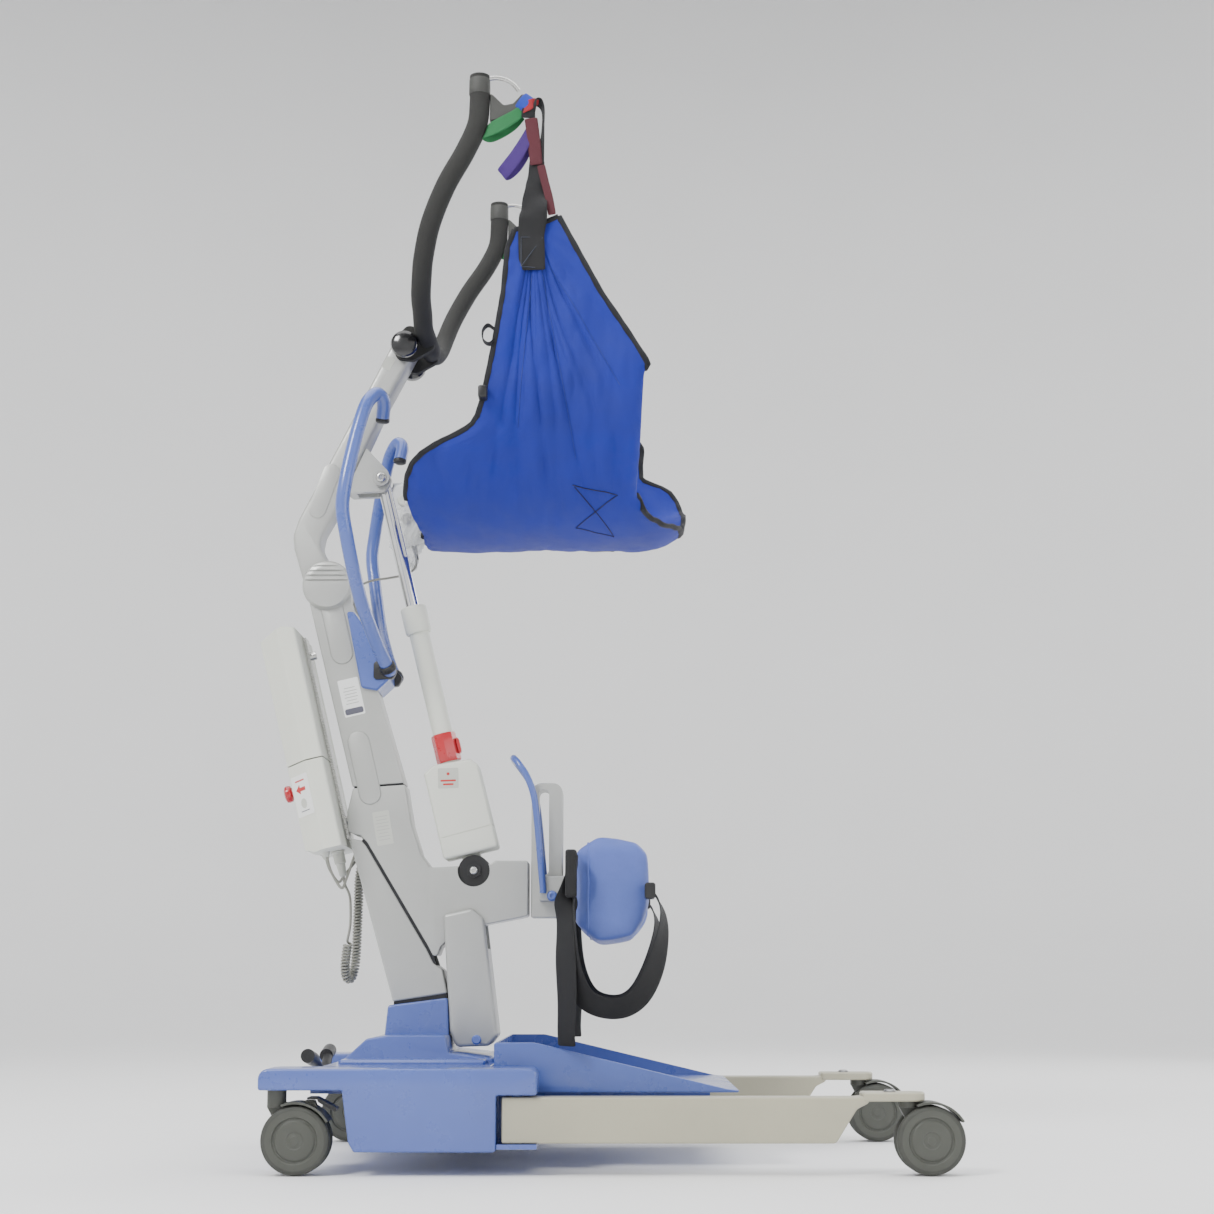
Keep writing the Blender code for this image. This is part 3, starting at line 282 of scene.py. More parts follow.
blue = moulded("blue_cover", BLUE, 0.30, 1500, 0.00003, 0.06, 0.5, 0.3, 70)
bluecoat = moulded("blue_coat", (0.09, 0.15, 0.47), 0.3, 1200, 0.00005, 0.06, 0.3, 0.25, 160)
grey = moulded("mast_grey", GREY, 0.40, 1100, 0.00006, 0.05, 0.25, 0.2, 110, 0.3)
# darker grey: print lines, washers, and the thin painted shadow round the mast's raised strips
greydark = moulded("grey_dark_and_painted_shadow", shade(GREY, 0.86), 0.5, 1100, 0.00008, 0.05, 0.0, 0.2, 110)
seam = moulded("seam_dark", (0.02, 0.02, 0.022), 0.8, 900, 0.00005, 0.1)
cream = moulded("leg_cream", CREAM, 0.38, 1300, 0.00005, 0.06, 0.2, 0.25, 130)
white = moulded("offwhite_plastic", OFFWHITE, 0.48, 1600, 0.00006, 0.035, 0.0, 0.15, 60)
white2 = moulded("handset_plastic", (0.70, 0.71, 0.68), 0.42, 1600, 0.00005, 0.04)
labelm = moulded("label_face", (0.80, 0.81, 0.79), 0.35, 2000, 0.00002, 0.03, 0.3)
labelgrey = moulded("label_grey", (0.50, 0.51, 0.46), 0.35, 2000, 0.00002, 0.04, 0.3)
labelink = moulded("label_bars", (0.09, 0.09, 0.12), 0.4, 2000, 0.00002, 0.1)
labelred = moulded("label_red", (0.50, 0.02, 0.02), 0.4, 2000, 0.00002, 0.1)
black = moulded("black_plastic", (0.010, 0.010, 0.011), 0.42, 1100, 0.00008, 0.2, 0.0, 0.12)
gloss = moulded("black_gloss", (0.007, 0.007, 0.008), 0.12, 1500, 0.00002, 0.2, 0.6, 0.1)
foam = rubbery("black_foam", (0.016, 0.016, 0.0145), 0.82, 520, 0.0004)
rubbercap = rubbery("rubber_cap", (0.042, 0.043, 0.039), 0.6, 900, 0.0001)
castergrey = moulded("caster_plastic", (0.062, 0.065, 0.054), 0.5, 1200, 0.00008, 0.1, 0.0, 0.3)
tread = rubbery("caster_tread", (0.052, 0.054, 0.046), 0.7, 700, 0.00012)
steel = metal("plated_steel", (0.60, 0.60, 0.58), 0.24)
darksteel = metal("dark_steel", (0.30, 0.30, 0.30), 0.34)
chrome = metal("chrome", (0.80, 0.80, 0.80), 0.08, 0.3)
red = moulded("red_plastic", (0.46, 0.010, 0.018), 0.28, 1500, 0.00003, 0.08, 0.4)
fabric = woven("sling_fabric", (0.004, 0.018, 0.285), 0.0012, rough=0.8, vary=0.16, sheen=0.08)
binding = woven("sling_binding", (0.006, 0.0065, 0.010), 0.0009, rough=0.8, vary=0.2, sheen=0.06)
webbing = woven("black_webbing", (0.006, 0.006, 0.0075), 0.0016, twill=True, rough=0.75, vary=0.2, sheen=0.06, depth=0.0005)
web_maroon = woven("web_maroon", (0.085, 0.010, 0.018), 0.0016, twill=True, rough=0.75, sheen=0.06, depth=0.0005)
web_red = woven("web_red", (0.30, 0.012, 0.018), 0.0016, twill=True, rough=0.75, sheen=0.06, depth=0.0005)
web_purple = woven("web_purple", (0.050, 0.014, 0.165), 0.0016, twill=True, rough=0.75, sheen=0.06, depth=0.0005)
web_green = woven("web_green", (0.012, 0.165, 0.048), 0.0016, twill=True, rough=0.75, sheen=0.06, depth=0.0005)
web_blue = woven("web_blue", (0.010, 0.040, 0.42), 0.0016, twill=True, rough=0.75, sheen=0.06, depth=0.0005)
vinyl = vinyl_like("pad_vinyl", (0.085, 0.135, 0.46))
cordmat = moulded("cord_sheath", (0.035, 0.036, 0.038), 0.45, 900, 0.00006, 0.15)
cordlight = moulded("cord_sheath_grey", (0.26, 0.26, 0.225), 0.45, 900, 0.00006, 0.1)
film = clear_film("clear_film")
threadblue = moulded("thread_blue", (0.006, 0.022, 0.20), 0.7, 2500, 0.00005, 0.1)
thread = moulded("thread", (0.035, 0.045, 0.075), 0.7, 2500, 0.00005, 0.1)


# ------------------------------------------------------------------- studio
def studio():
    m, nt, s = tree("floor")
    co = put(nt, "ShaderNodeTexCoord").outputs["Object"]
    n = noise_node(nt, co, 1.4, 3.0, 0.5)
    nt.links.new(mixrgb(nt, ramp(nt, n, 0, 1), (0.93, 0.93, 0.93), (0.95, 0.95, 0.95)), s.inputs["Base Color"])
    s.inputs["Roughness"].default_value = 0.75
    # a round bowl: floor, soft cove and pale wall on every side
    bm = bmesh.new()
    prof = [(0.0, 0.0), (2.5, 0.0), (4.6, 0.0), (5.6, 0.02), (6.4, 0.14), (7.0, 0.45), (7.4, 1.0), (7.6, 1.9), (7.7, 6.5)]
    seg = 96
    hub = bm.verts.new((0, 0, -0.0006))
    grid = [[bm.verts.new((r * math.cos(2 * math.pi * k / seg), r * math.sin(2 * math.pi * k / seg), z - 0.0006))
             for k in range(seg)] for r, z in prof[1:]]
    for k in range(seg):
        bm.faces.new((hub, grid[0][k], grid[0][(k + 1) % seg]))
    for a, b in zip(grid, grid[1:]):
        for k in range(seg):
            bm.faces.new((a[k], b[k], b[(k + 1) % seg], a[(k + 1) % seg]))
    me = bpy.data.meshes.new("floor")
    bm.to_mesh(me)
    bm.free()
    me.shade_smooth()
    ob = bpy.data.objects.new("floor", me)
    bpy.context.scene.collection.objects.link(ob)
    me.materials.append(m)
    w = bpy.data.worlds.new("studio")
    bpy.context.scene.world = w
    w.use_nodes = True
    w.node_tree.nodes["Background"].inputs[0].default_value = (0.96, 0.98, 1.0, 1)
    w.node_tree.nodes["Background"].inputs[1].default_value = 0.30

    def area(name, loc, aim, size, power, col=(1, 1, 1)):
        d = bpy.data.lights.new(name, "AREA")
        d.shape = "RECTANGLE"
        d.size, d.size_y = size
        d.energy = power
        d.color = col
        o = bpy.data.objects.new(name, d)
        bpy.context.scene.collection.objects.link(o)
        o.location = loc
        o.rotation_euler = (Vector(aim) - Vector(loc)).to_track_quat("-Z", "Y").to_euler()

    area("key", (-2.1, -2.5, 3.2), (0, 0, 0.8), (1.0, 1.0), 115)
    area("fill", (3.2, -2.8, 1.7), (0, 0, 0.7), (2.0, 2.0), 34)
    area("rim", (2.4, 2.6, 2.4), (0, 0, 1.0), (1.6, 2.4), 40)
    area("ceiling", (0.0, 0.0, 6.2), (0, 0, 0), (7.0, 7.0), 490)


studio()
# ---------------------------------------------------------------- dimensions
# All in millimetres. SHIFT_X puts the middle of the outer box at X = 0.
SHIFT_X = 33.5

WHEEL_R = 50.0
AXLE_Z = 50.0
TREAD_Y = 300.0            # caster centre to the middle plane
REAR_STEM_X = -492.0
REAR_TRAIL = 30.0
FRONT_STEM_X = 428.0
FRONT_TRAIL = 31.0

LEG_PIVOT_X = -142.0
LEG_Y = 300.0
LEG_HALF = 22.0            # half the leg tube's width
LEG_Z0, LEG_Z1 = 46.0, 112.0
LEG_END_X = 321.0
PLATE_X0, PLATE_X1 = 360.0, 453.0
PLATE_Z0, PLATE_Z1 = 106.0, 119.0

COVER_INNER_Y, COVER_OUTER_Y = 240.0, 330.0
COVER_TOP = 153.0
RAISED_TOP = 195.0
SOCKET_TOP_REAR, SOCKET_TOP_FRONT = 240.0, 252.0

MAST_HALF_Y = 38.0
MAST_TILT = math.radians(13.3)
MAST_REAR_POINT = (-461.7, 687.8)   # a point on the mast's rear face
PIVOT = (-471.0, 922.0)             # boom pivot, X and Z
PIVOT_R = 41.0
BOOM_HALF_Y = 28.0

ACT_LOW = (-226.9, 455.2)           # actuator's lower pin
ACT_HIGH = (-386.2, 1104.9)         # actuator's upper pin
ROD_R = 11.0
TUBE_R = 16.5
COLLAR_R = 21.5

HOOK_Y = 262.0
SLING_Y = 262.0
SLING_T = 7.0
SLING_ARC_Z = 1247.0
SLING_LOW_Z = 994.0

BOX_HALF_Y = 95.0
BOX_N0, BOX_N1 = -80.0, -16.0       # rear and front faces behind the mast

PAD_HALF_Y = 210.0
RAIL_HALF_Y = 30.0

# ------------------------------------------------------------------ helpers
home = bpy.context.scene.collection


def P(x, y, z):
    """A point of the machine in metres."""
    return Vector(((x + SHIFT_X) / 1000.0, y / 1000.0, z / 1000.0))


def add(mesh, name):
    ob = bpy.data.objects.new(name, mesh)
    home.objects.link(ob)
    return ob


def baked(ob):
    """The object again, as the plain mesh that its modifiers give."""
    bpy.context.view_layer.update()
    deps = bpy.context.evaluated_depsgraph_get()
    mesh = bpy.data.meshes.new_from_object(ob.evaluated_get(deps))
    mesh.transform(ob.matrix_world)
    name = ob.name
    bpy.data.objects.remove(ob, do_unlink=True)
    bm = bmesh.new()
    bm.from_mesh(mesh)
    bmesh.ops.remove_doubles(bm, verts=bm.verts, dist=1e-6)
    bm.to_mesh(mesh)
    bm.free()
    mesh.materials.clear()
    new = add(mesh, name)
    new.name = name
    return new


def wear(ob, material, angle=35.0):
    ob.data.materials.clear()
    ob.data.materials.append(material)
    ob.data.shade_smooth()
    ob.data.set_sharp_from_angle(angle=math.radians(angle))
    return ob


def finish(node, ob, material, angle=35.0):
    """The detailed piece that stands for a CAD node."""
    ob.name = "v_" + node
    wear(ob, material, angle)
    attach(ob, BODY_OF[node])
    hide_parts(node)
    return ob


def extra(name, ob, node, material, angle=35.0):
    """A further piece on the body of a CAD node, with its finish slot."""
    ob.name = name
    wear(ob, material, angle)
    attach(ob, BODY_OF[node])
    return ob


def combine(a, b, how):
    m = a.modifiers.new(how.lower(), "BOOLEAN")
    m.operation = how
    m.solver = "EXACT"
    m.object = b
    b.hide_render = True
    b.display_type = "WIRE"
    a = baked(a)
    bpy.data.objects.remove(b, do_unlink=True)
    return a


def join(a, *others):
    for b in others:
        a = combine(a, b, "UNION")
    return a


def cut(a, *others):
    for b in others:
        a = combine(a, b, "DIFFERENCE")
    return a


def keep(a, b):
    return combine(a, b, "INTERSECT")


def rounded(corners, default=0.0, steps=6):
    """A closed outline whose corners (x, z[, radius]) are rounded."""
    out = []
    n = len(corners)
    for i in range(n):
        p = Vector(corners[i][:2])
        r = corners[i][2] if len(corners[i]) > 2 else default
        a = Vector(corners[i - 1][:2]) - p
        b = Vector(corners[(i + 1) % n][:2]) - p
        la, lb = a.length, b.length
        a.normalize()
        b.normalize()
        half = a.angle(b) / 2.0
        if r <= 0 or half > math.radians(88.5):
            out.append(p)
            continue
        t = min(r / math.tan(half), 0.48 * la, 0.48 * lb)
        r = t * math.tan(half)
        c = p + (a + b).normalized() * (r / math.sin(half))
        p0, p1 = p + a * t, p + b * t
        v0, v1 = p0 - c, p1 - c
        turn = v0.angle_signed(v1, 0.0)
        for k in range(steps + 1):
            ang = -turn * k / steps
            q = Vector((v0.x * math.cos(ang) - v0.y * math.sin(ang),
                        v0.x * math.sin(ang) + v0.y * math.cos(ang)))
            out.append(c + q)
    return out


XZ = Matrix(((1, 0, 0, 0), (0, 0, -1, 0), (0, 1, 0, 0), (0, 0, 0, 1)))
YZ = Matrix(((0, 0, 1, 0), (1, 0, 0, 0), (0, 1, 0, 0), (0, 0, 0, 1)))
XY = Matrix.Identity(4)


def slab(name, outline, lo, hi, plane=XZ, bevel=0.0, segments=1, angle=40.0, move=(0, 0, 0)):
    """A flat outline given thickness, from lo to hi along the plane's normal."""
    cu = bpy.data.curves.new(name, "CURVE")
    cu.dimensions = "2D"
    cu.fill_mode = "BOTH"
    cu.extrude = (hi - lo) / 2000.0
    sp = cu.splines.new("POLY")
    sp.points.add(len(outline) - 1)
    for q, p in zip(sp.points, outline):
        q.co = (p[0] / 1000.0, p[1] / 1000.0, 0.0, 1.0)
    sp.use_cyclic_u = True
    ob = bpy.data.objects.new(name, cu)
    home.objects.link(ob)
    mid = (lo + hi) / 2000.0
    if plane is XZ:
        mid = -mid
    ob.matrix_world = (Matrix.Translation(P(*move)) @ plane
                       @ Matrix.Translation((0, 0, mid)))
    ob = baked(ob)
    bm = bmesh.new()
    bm.from_mesh(ob.data)
    bmesh.ops.remove_doubles(bm, verts=bm.verts, dist=2e-6)
    bmesh.ops.dissolve_limit(bm, angle_limit=0.002, verts=bm.verts, edges=bm.edges)
    bmesh.ops.recalc_face_normals(bm, faces=bm.faces)
    bm.to_mesh(ob.data)
    bm.free()
    if bevel:
        m = ob.modifiers.new("bevel", "BEVEL")
        m.width = bevel / 1000.0
        m.segments = segments
        m.limit_method = "ANGLE"
        m.angle_limit = math.radians(angle)
        ob = baked(ob)
    return ob


def block(name, x0, x1, y0, y1, z0, z1, bevel=0.0, segments=1):
    bm = bmesh.new()
    bmesh.ops.create_cube(bm, size=1.0)
    for v in bm.verts:
        v.co = P(x0 + (v.co.x + 0.5) * (x1 - x0), y0 + (v.co.y + 0.5) * (y1 - y0),
                 z0 + (v.co.z + 0.5) * (z1 - z0))
    mesh = bpy.data.meshes.new(name)
    bm.to_mesh(mesh)
    bm.free()
    ob = add(mesh, name)
    if bevel:
        m = ob.modifiers.new("bevel", "BEVEL")
        m.width = bevel / 1000.0
        m.segments = segments
        ob = baked(ob)
    return ob


def rod(name, a, b, r, segments=40, r2=None):
    """A round bar between two points."""
    a, b = P(*a), P(*b)
    bm = bmesh.new()
    bmesh.ops.create_cone(bm, cap_ends=True, segments=segments, radius1=r / 1000.0,
                          radius2=(r if r2 is None else r2) / 1000.0, depth=(b - a).length)
    turn = (b - a).to_track_quat("Z", "Y").to_matrix().to_4x4()
    bm.transform(Matrix.Translation((a + b) / 2) @ turn)
    mesh = bpy.data.meshes.new(name)
    bm.to_mesh(mesh)
    bm.free()
    return add(mesh, name)


def turned(name, profile, origin, axis, segments=56):
    """A profile (radius, height), top to bottom, turned about an axis."""
    bm = bmesh.new()
    vs = [bm.verts.new((r / 1000.0, 0, h / 1000.0)) for r, h in profile]
    for a, b, (ra, _), (rb, _) in zip(vs, vs[1:], profile, profile[1:]):
        if ra > 0 or rb > 0:
            bm.edges.new((a, b))
    mesh = bpy.data.meshes.new(name)
    bm.to_mesh(mesh)
    bm.free()
    ob = add(mesh, name)
    m = ob.modifiers.new("screw", "SCREW")
    m.steps = segments
    m.render_steps = segments
    m.use_merge_vertices = True
    m.merge_threshold = 1e-5
    m.use_normal_calculate = True
    turn = Vector(axis).to_track_quat("Z", "Y").to_matrix().to_4x4()
    ob.matrix_world = Matrix.Translation(P(*origin)) @ turn
    ob = baked(ob)
    bm = bmesh.new()
    bm.from_mesh(ob.data)
    bmesh.ops.remove_doubles(bm, verts=bm.verts, dist=1e-5)
    bmesh.ops.recalc_face_normals(bm, faces=bm.faces)
    bm.to_mesh(ob.data)
    bm.free()
    return ob


def through(points, per=4):
    """Points along a smooth curve through the given ones."""
    pts = [Vector(p) for p in points]
    ext = [2 * pts[0] - pts[1]] + pts + [2 * pts[-1] - pts[-2]]
    out = []
    for i in range(1, len(ext) - 2):
        p0, p1, p2, p3 = ext[i - 1:i + 3]
        for k in range(per):
            t = k / per
            out.append(0.5 * ((2 * p1) + (p2 - p0) * t + (2 * p0 - 5 * p1 + 4 * p2 - p3) * t * t
                              + (3 * p1 - p0 - 3 * p2 + p3) * t ** 3))
    out.append(pts[-1])
    return out


def tube(name, points, r, resolution=2):
    """A round tube along points, with filled ends."""
    cu = bpy.data.curves.new(name, "CURVE")
    cu.dimensions = "3D"
    cu.bevel_depth = r / 1000.0
    cu.bevel_resolution = resolution
    cu.use_fill_caps = True
    sp = cu.splines.new("POLY")
    sp.points.add(len(points) - 1)
    for q, p in zip(sp.points, points):
        q.co = (*P(*p), 1.0)
    ob = bpy.data.objects.new(name, cu)
    home.objects.link(ob)
    return baked(ob)


def ribbon(name, path, thick, y0, y1):
    """A flat band that follows a path in the X-Z plane."""
    pts = [Vector(p) for p in path]
    left, right = [], []
    for i, p in enumerate(pts):
        d = (pts[min(i + 1, len(pts) - 1)] - pts[max(i - 1, 0)]).normalized()
        n = Vector((-d.y, d.x)) * thick / 2
        left.append(p + n)
        right.append(p - n)
    return slab(name, left + right[::-1], y0, y1)


def mirrored(ob, name):
    """The same piece on the other side of the middle plane."""
    mesh = ob.data.copy()
    mesh.transform(Matrix.Scale(-1, 4, (0, 1, 0)))
    mesh.flip_normals()
    return add(mesh, name)


def in_mast(n, t):
    """X and Z of a point n ahead of the mast's rear face and t up along it."""
    c, s = math.cos(MAST_TILT), math.sin(MAST_TILT)
    return (MAST_REAR_POINT[0] + n * c - t * s, MAST_REAR_POINT[1] + n * s + t * c)


ACT_DIR = (Vector(ACT_HIGH) - Vector(ACT_LOW)).normalized()
ACT_LEN = (Vector(ACT_HIGH) - Vector(ACT_LOW)).length


def on_act(n, u):
    """X and Z of a point u along the actuator and n ahead of its axis."""
    return (ACT_LOW[0] + ACT_DIR.x * u + ACT_DIR.y * n, ACT_LOW[1] + ACT_DIR.y * u - ACT_DIR.x * n)


def circle(cx, cz, r, n=24, start=0.0, end=2 * math.pi):
    closed = abs(end - start) > 6.28
    k = n if closed else n + 1
    return [(cx + r * math.cos(start + (end - start) * i / n),
             cz + r * math.sin(start + (end - start) * i / n)) for i in range(k)]


def pair(ob, right, left, material, angle=35.0):
    """A right-hand piece and its mirror image."""
    other = mirrored(ob, left)
    finish(right, ob, material, angle)
    finish(left, other, material, angle)
    return ob, other


# -------------------------------------------------------------------- base
beam = block("base_beam", -345, -150, -238.5, 238.5, 44, 112)
rest = block("rest", -152, 150, -85, 85, 88, 112.4)
lip_r = block("lip_r", -170, -112, -325, -200, 38, 45.0)
lip_l = block("lip_l", -170, -112, 200, 325, 38, 45.0)
bolt_r = rod("bolt_r", (LEG_PIVOT_X, -LEG_Y, 40), (LEG_PIVOT_X, -LEG_Y, 114.4), 8, 40)
bolt_l = rod("bolt_l", (LEG_PIVOT_X, LEG_Y, 40), (LEG_PIVOT_X, LEG_Y, 114.4), 8, 40)
low = block("low", -240, -150, -238.5, 238.5, 38, 50)
base_beam = finish("base_beam", join(beam, low, rest, lip_r, lip_l, bolt_r, bolt_l), blue)

side = slab("side_cover_right", rounded([
    (-516, 122, 4), (-516, 153, 16), (-112, 153, 12), (-112, 115, 4), (-171, 115),
    (-171, 34, 5), (-376, 34, 6), (-384, 48, 8), (-394, 122)], steps=6),
    -COVER_OUTER_Y, -COVER_INNER_Y, bevel=5, segments=3, angle=50)
side_cover_right, side_cover_left = pair(side, "side_cover_right", "side_cover_left", blue)

low = slab("centre_cover", rounded([
    (-453, 112.5), (-453, 140, 6), (-436, 153, 6), (-182.5, 153, 4), (-182.5, 112.5)], steps=6),
    -239.5, 239.5)
high = slab("high", rounded([
    (-428, 120), (-428, 150), (-384, 190, 10), (-352, 195, 10), (-262, 195, 6), (-257, 168, 3),
    (-190, 160, 6), (-184, 150), (-184, 120)], steps=6), -130, 130, bevel=9, segments=3, angle=50)
wide = slab("wide", rounded([(-420, 120), (-420, 160, 4), (-196, 160, 4), (-196, 120)], steps=3),
            -185, 185, bevel=5, segments=1, angle=60)
socket = slab("socket", rounded([
    (-368, 170), (-361, SOCKET_TOP_REAR, 5), (-266, SOCKET_TOP_FRONT, 4), (-262, 170)], steps=6),
    -50, 50, bevel=4, segments=3, angle=50)
centre_cover = finish("centre_cover", join(low, wide, high, socket), blue)

tray_out = slab("foot_tray", rounded([
    (-181, 113), (-181, 187, 4), (-120, 187, 30), (168, 118.5, 12), (188, 116), (186, 113)], steps=6),
    -220, 220, bevel=2, segments=3, angle=50)
tray_in = slab("tray_in", rounded([
    (-175, 118), (-175, 240), (230, 240), (230, 118)]), -214, 214)
foot_tray = finish("foot_tray", cut(tray_out, tray_in), blue)

bar = tube("spreader_pedal", through([
    (-476, -118, 163), (-474, -90, 160), (-471, -50, 146), (-470, 0, 131),
    (-471, 50, 146), (-474, 90, 160), (-476, 118, 163)], 6), 8, 6)
boss = rod("boss", (-453.6, 0, 131), (-484, 0, 131), 13, 40)
tread_r = rod("tread_r", (-476, -120, 163.4), (-475, -72, 156.5), 11, 40)
tread_l = rod("tread_l", (-476, 120, 163.4), (-475, 72, 156.5), 11, 40)
spreader_pedal = finish("spreader_pedal", join(bar, boss, tread_r, tread_l), black)

# ----------------------------------------------------- legs and casters
leg = slab("leg_right", rounded([
    (LEG_PIVOT_X - 21, LEG_Z0, 3), (LEG_PIVOT_X - 21, LEG_Z1, 3), (352, LEG_Z1, 20),
    (370, LEG_Z1 + 2), (370, PLATE_Z0 - 2, 10), (352, 95, 12), (LEG_END_X, LEG_Z0, 8)], steps=6),
    -LEG_Y - LEG_HALF, -LEG_Y + LEG_HALF, bevel=8, segments=3, angle=50)


def flat(name, outline, z0, z1, bevel=0.0, segments=1, angle=60.0):
    """An outline in X-Y given height from z0 to z1."""
    return slab(name, outline, z0, z1, plane=XY, bevel=bevel, segments=segments, angle=angle)


plate = flat("plate", rounded([
    (PLATE_X0, -LEG_Y - 24, 6), (PLATE_X1, -LEG_Y - 24, 22), (PLATE_X1, -LEG_Y + 24, 22),
    (PLATE_X0, -LEG_Y + 24, 6)], steps=6), PLATE_Z0, PLATE_Z1, bevel=2)
hole = rod("hole", (LEG_PIVOT_X, -LEG_Y, 20), (LEG_PIVOT_X, -LEG_Y, 140), 8.6, 40)
leg_right, leg_left = pair(cut(join(leg, plate), hole), "leg_right", "leg_left", cream)


def caster(tag, stem_x, trail, top):
    """One twin-wheel caster on the right-hand side: fork and wheel."""
    ax = stem_x + trail
    fin = slab("caster", rounded([
        (stem_x - 13, 97, 4), (stem_x - 13, 104), (stem_x + 30, 104, 6), (ax + 20, 84, 10),
        (ax + 17, 40, 14), (ax - 12, 34, 12), (stem_x + 6, 62, 10)], steps=6),
        -TREAD_Y - 7, -TREAD_Y + 7)
    stem = rod("stem", (stem_x, -TREAD_Y, 97), (stem_x, -TREAD_Y, top), 14, 40)
    arch = circle(ax, AXLE_Z, 52.2, 24, math.radians(30), math.radians(112))
    arch += circle(ax, AXLE_Z, 55.4, 24, math.radians(112), math.radians(30))
    hood = slab("hood", arch, -TREAD_Y - 25, -TREAD_Y + 25)
    bore = rod("bore", (ax, -TREAD_Y - 40, AXLE_Z), (ax, -TREAD_Y + 40, AXLE_Z), 8.6, 40)
    fork = cut(join(fin, stem, hood), bore)
    half = [(0, 23.2), (6, 23.4), (7.5, 22.4), (12, 22.4), (13, 23.2), (27, 23.8), (29, 22.8), (30, 21.6), (31.5, 21.6),
            (32.5, 22.8), (34, 24.2), (43, 24.5), (47.4, 23.4), (49.4, 21.2), (WHEEL_R, 18.5), (WHEEL_R, 14.0),
            (49.4, 11.0), (47.6, 9.2), (45, 8.5), (8, 8.5)]
    wheel = turned("wheel", half + [(r, -h) for r, h in half[::-1]], (ax, -TREAD_Y, AXLE_Z), (0, 1, 0), 72)
    return fork, wheel


fork, wheel = caster("front", FRONT_STEM_X, FRONT_TRAIL, PLATE_Z0 - 0.5)
front_caster_right, front_caster_left = pair(fork, "front_caster_right", "front_caster_left", castergrey)
front_wheel_right, front_wheel_left = pair(wheel, "front_wheel_right", "front_wheel_left", castergrey)
fork, wheel = caster("rear", REAR_STEM_X, REAR_TRAIL, 121.5)
ear = slab("ear", rounded([(-452, 96), (-452, 107, 3), (-436, 107, 3), (-432, 96)], steps=6),
           -TREAD_Y - 7, -TREAD_Y + 7)
fork = join(fork, ear)
rear_caster_right, rear_caster_left = pair(fork, "rear_caster_right", "rear_caster_left", castergrey)
rear_wheel_right, rear_wheel_left = pair(wheel, "rear_wheel_right", "rear_wheel_left", castergrey)

pedal = slab("brake", rounded([
    (-446, 108.5), (-446, 112, 2), (-432, 112, 4), (-402, 96, 3), (-404, 90, 2), (-430, 104.6, 3),
    (-431.4, 108.5)], steps=6), -TREAD_Y - 14, -TREAD_Y + 14)
brake_pedal_right, brake_pedal_left = pair(pedal, "brake_pedal_right", "brake_pedal_left", black)

# -------------------------------------------------------------------- mast
mast_foot = finish("mast_foot", slab("mast_foot", rounded([
    (-428.5, 507, 3), (-409, 504, 4), (-400.6, 494, 6), (-302, 329.5, 20), (-290, 306.5, 8),
    (-275.6, 296.6, 8), (-267.4, 258.8, 3), (-354.5, 245.7, 3)], steps=6),
    -MAST_HALF_Y, MAST_HALF_Y, bevel=7, segments=3, angle=50), grey)

body = slab("mast_body", rounded([
    (-422, 514, 4), (-431, 519, 6), (-432, 550, 20), (-423.6, 588, 2), (-339.7, 594, 2),
    (-329, 531, 20), (-313, 481, 14), (-297, 460, 8), (-252, 462, 3), (-200, 466, 3),
    (-192, 471, 4), (-139, 471, 4), (-139, 382, 6), (-205, 369, 10), (-262, 349, 14),
    (-279, 333, 10), (-287, 311, 8), (-300, 336, 16), (-399, 500.5, 8), (-410.5, 512, 5)], steps=6),
    -MAST_HALF_Y, MAST_HALF_Y, bevel=7, segments=3, angle=50)
notch = slab("notch", circle(ACT_LOW[0], ACT_LOW[1], 26, 56), -60, 60)
mast_body = finish("mast_body", cut(body, notch), grey)

tube_out = slab("mast_tube", rounded([
    (-424.5, 591, 2), (-503, 905, 40), (-503, 930, 20)]
    + [(PIVOT[0] + PIVOT_R * math.cos(a), PIVOT[1] + PIVOT_R * math.sin(a))
       for a in [math.radians(d) for d in range(150, -20, -5)]]
    + [(-430, 893, 20), (-341.5, 597, 2)], steps=6),
    -MAST_HALF_Y, MAST_HALF_Y, bevel=7, segments=3, angle=50)
slot = slab("slot", [(-560, 872), (-380, 884), (-380, 1010), (-560, 1010)], -BOOM_HALF_Y - 0.6,
            BOOM_HALF_Y + 0.6)
axle_hole = rod("axle_hole", (PIVOT[0], -60, PIVOT[1]), (PIVOT[0], 60, PIVOT[1]), 10.5, 40)
mast_tube = finish("mast_tube", cut(tube_out, slot, axle_hole), grey)

cap = turned("cap", [
    (0, 12.0), (30, 12.0), (37, 9.5), (40, 5.0), (PIVOT_R, 0.0), (0, 0.0)],
    (PIVOT[0], -MAST_HALF_Y - 0.4, PIVOT[1]), (0, -1, 0), 72)
for k in range(4):
    z = PIVOT[1] + 5 + 8 * k
    groove = block("groove", PIVOT[0] - 45, PIVOT[0] + 45, -60, -MAST_HALF_Y - 9.6, z, z + 3)
    cap = cut(cap, groove)
pivot_cap_right, pivot_cap_left = pair(cap, "pivot_cap_right", "pivot_cap_left", grey)

boom_axle = finish("boom_axle", rod("boom_axle", (PIVOT[0], -MAST_HALF_Y, PIVOT[1]), (PIVOT[0], MAST_HALF_Y, PIVOT[1]),
                       10, 40), steel)

strut = slab("mast_strut", rounded([
    (-274, 384, 6), (-229, 394, 8), (-209, 377.5, 10), (-186, 192, 12), (-199, 176, 10),
    (-252, 174, 12), (-262, 200, 10)], steps=6), -50, 50, bevel=6, segments=3, angle=50)
room = slab("room", [(-300, 330), (-150, 330), (-150, 420), (-300, 420)],
            -MAST_HALF_Y - 0.7, MAST_HALF_Y + 0.7)
mast_strut = finish("mast_strut", cut(strut, room), grey)

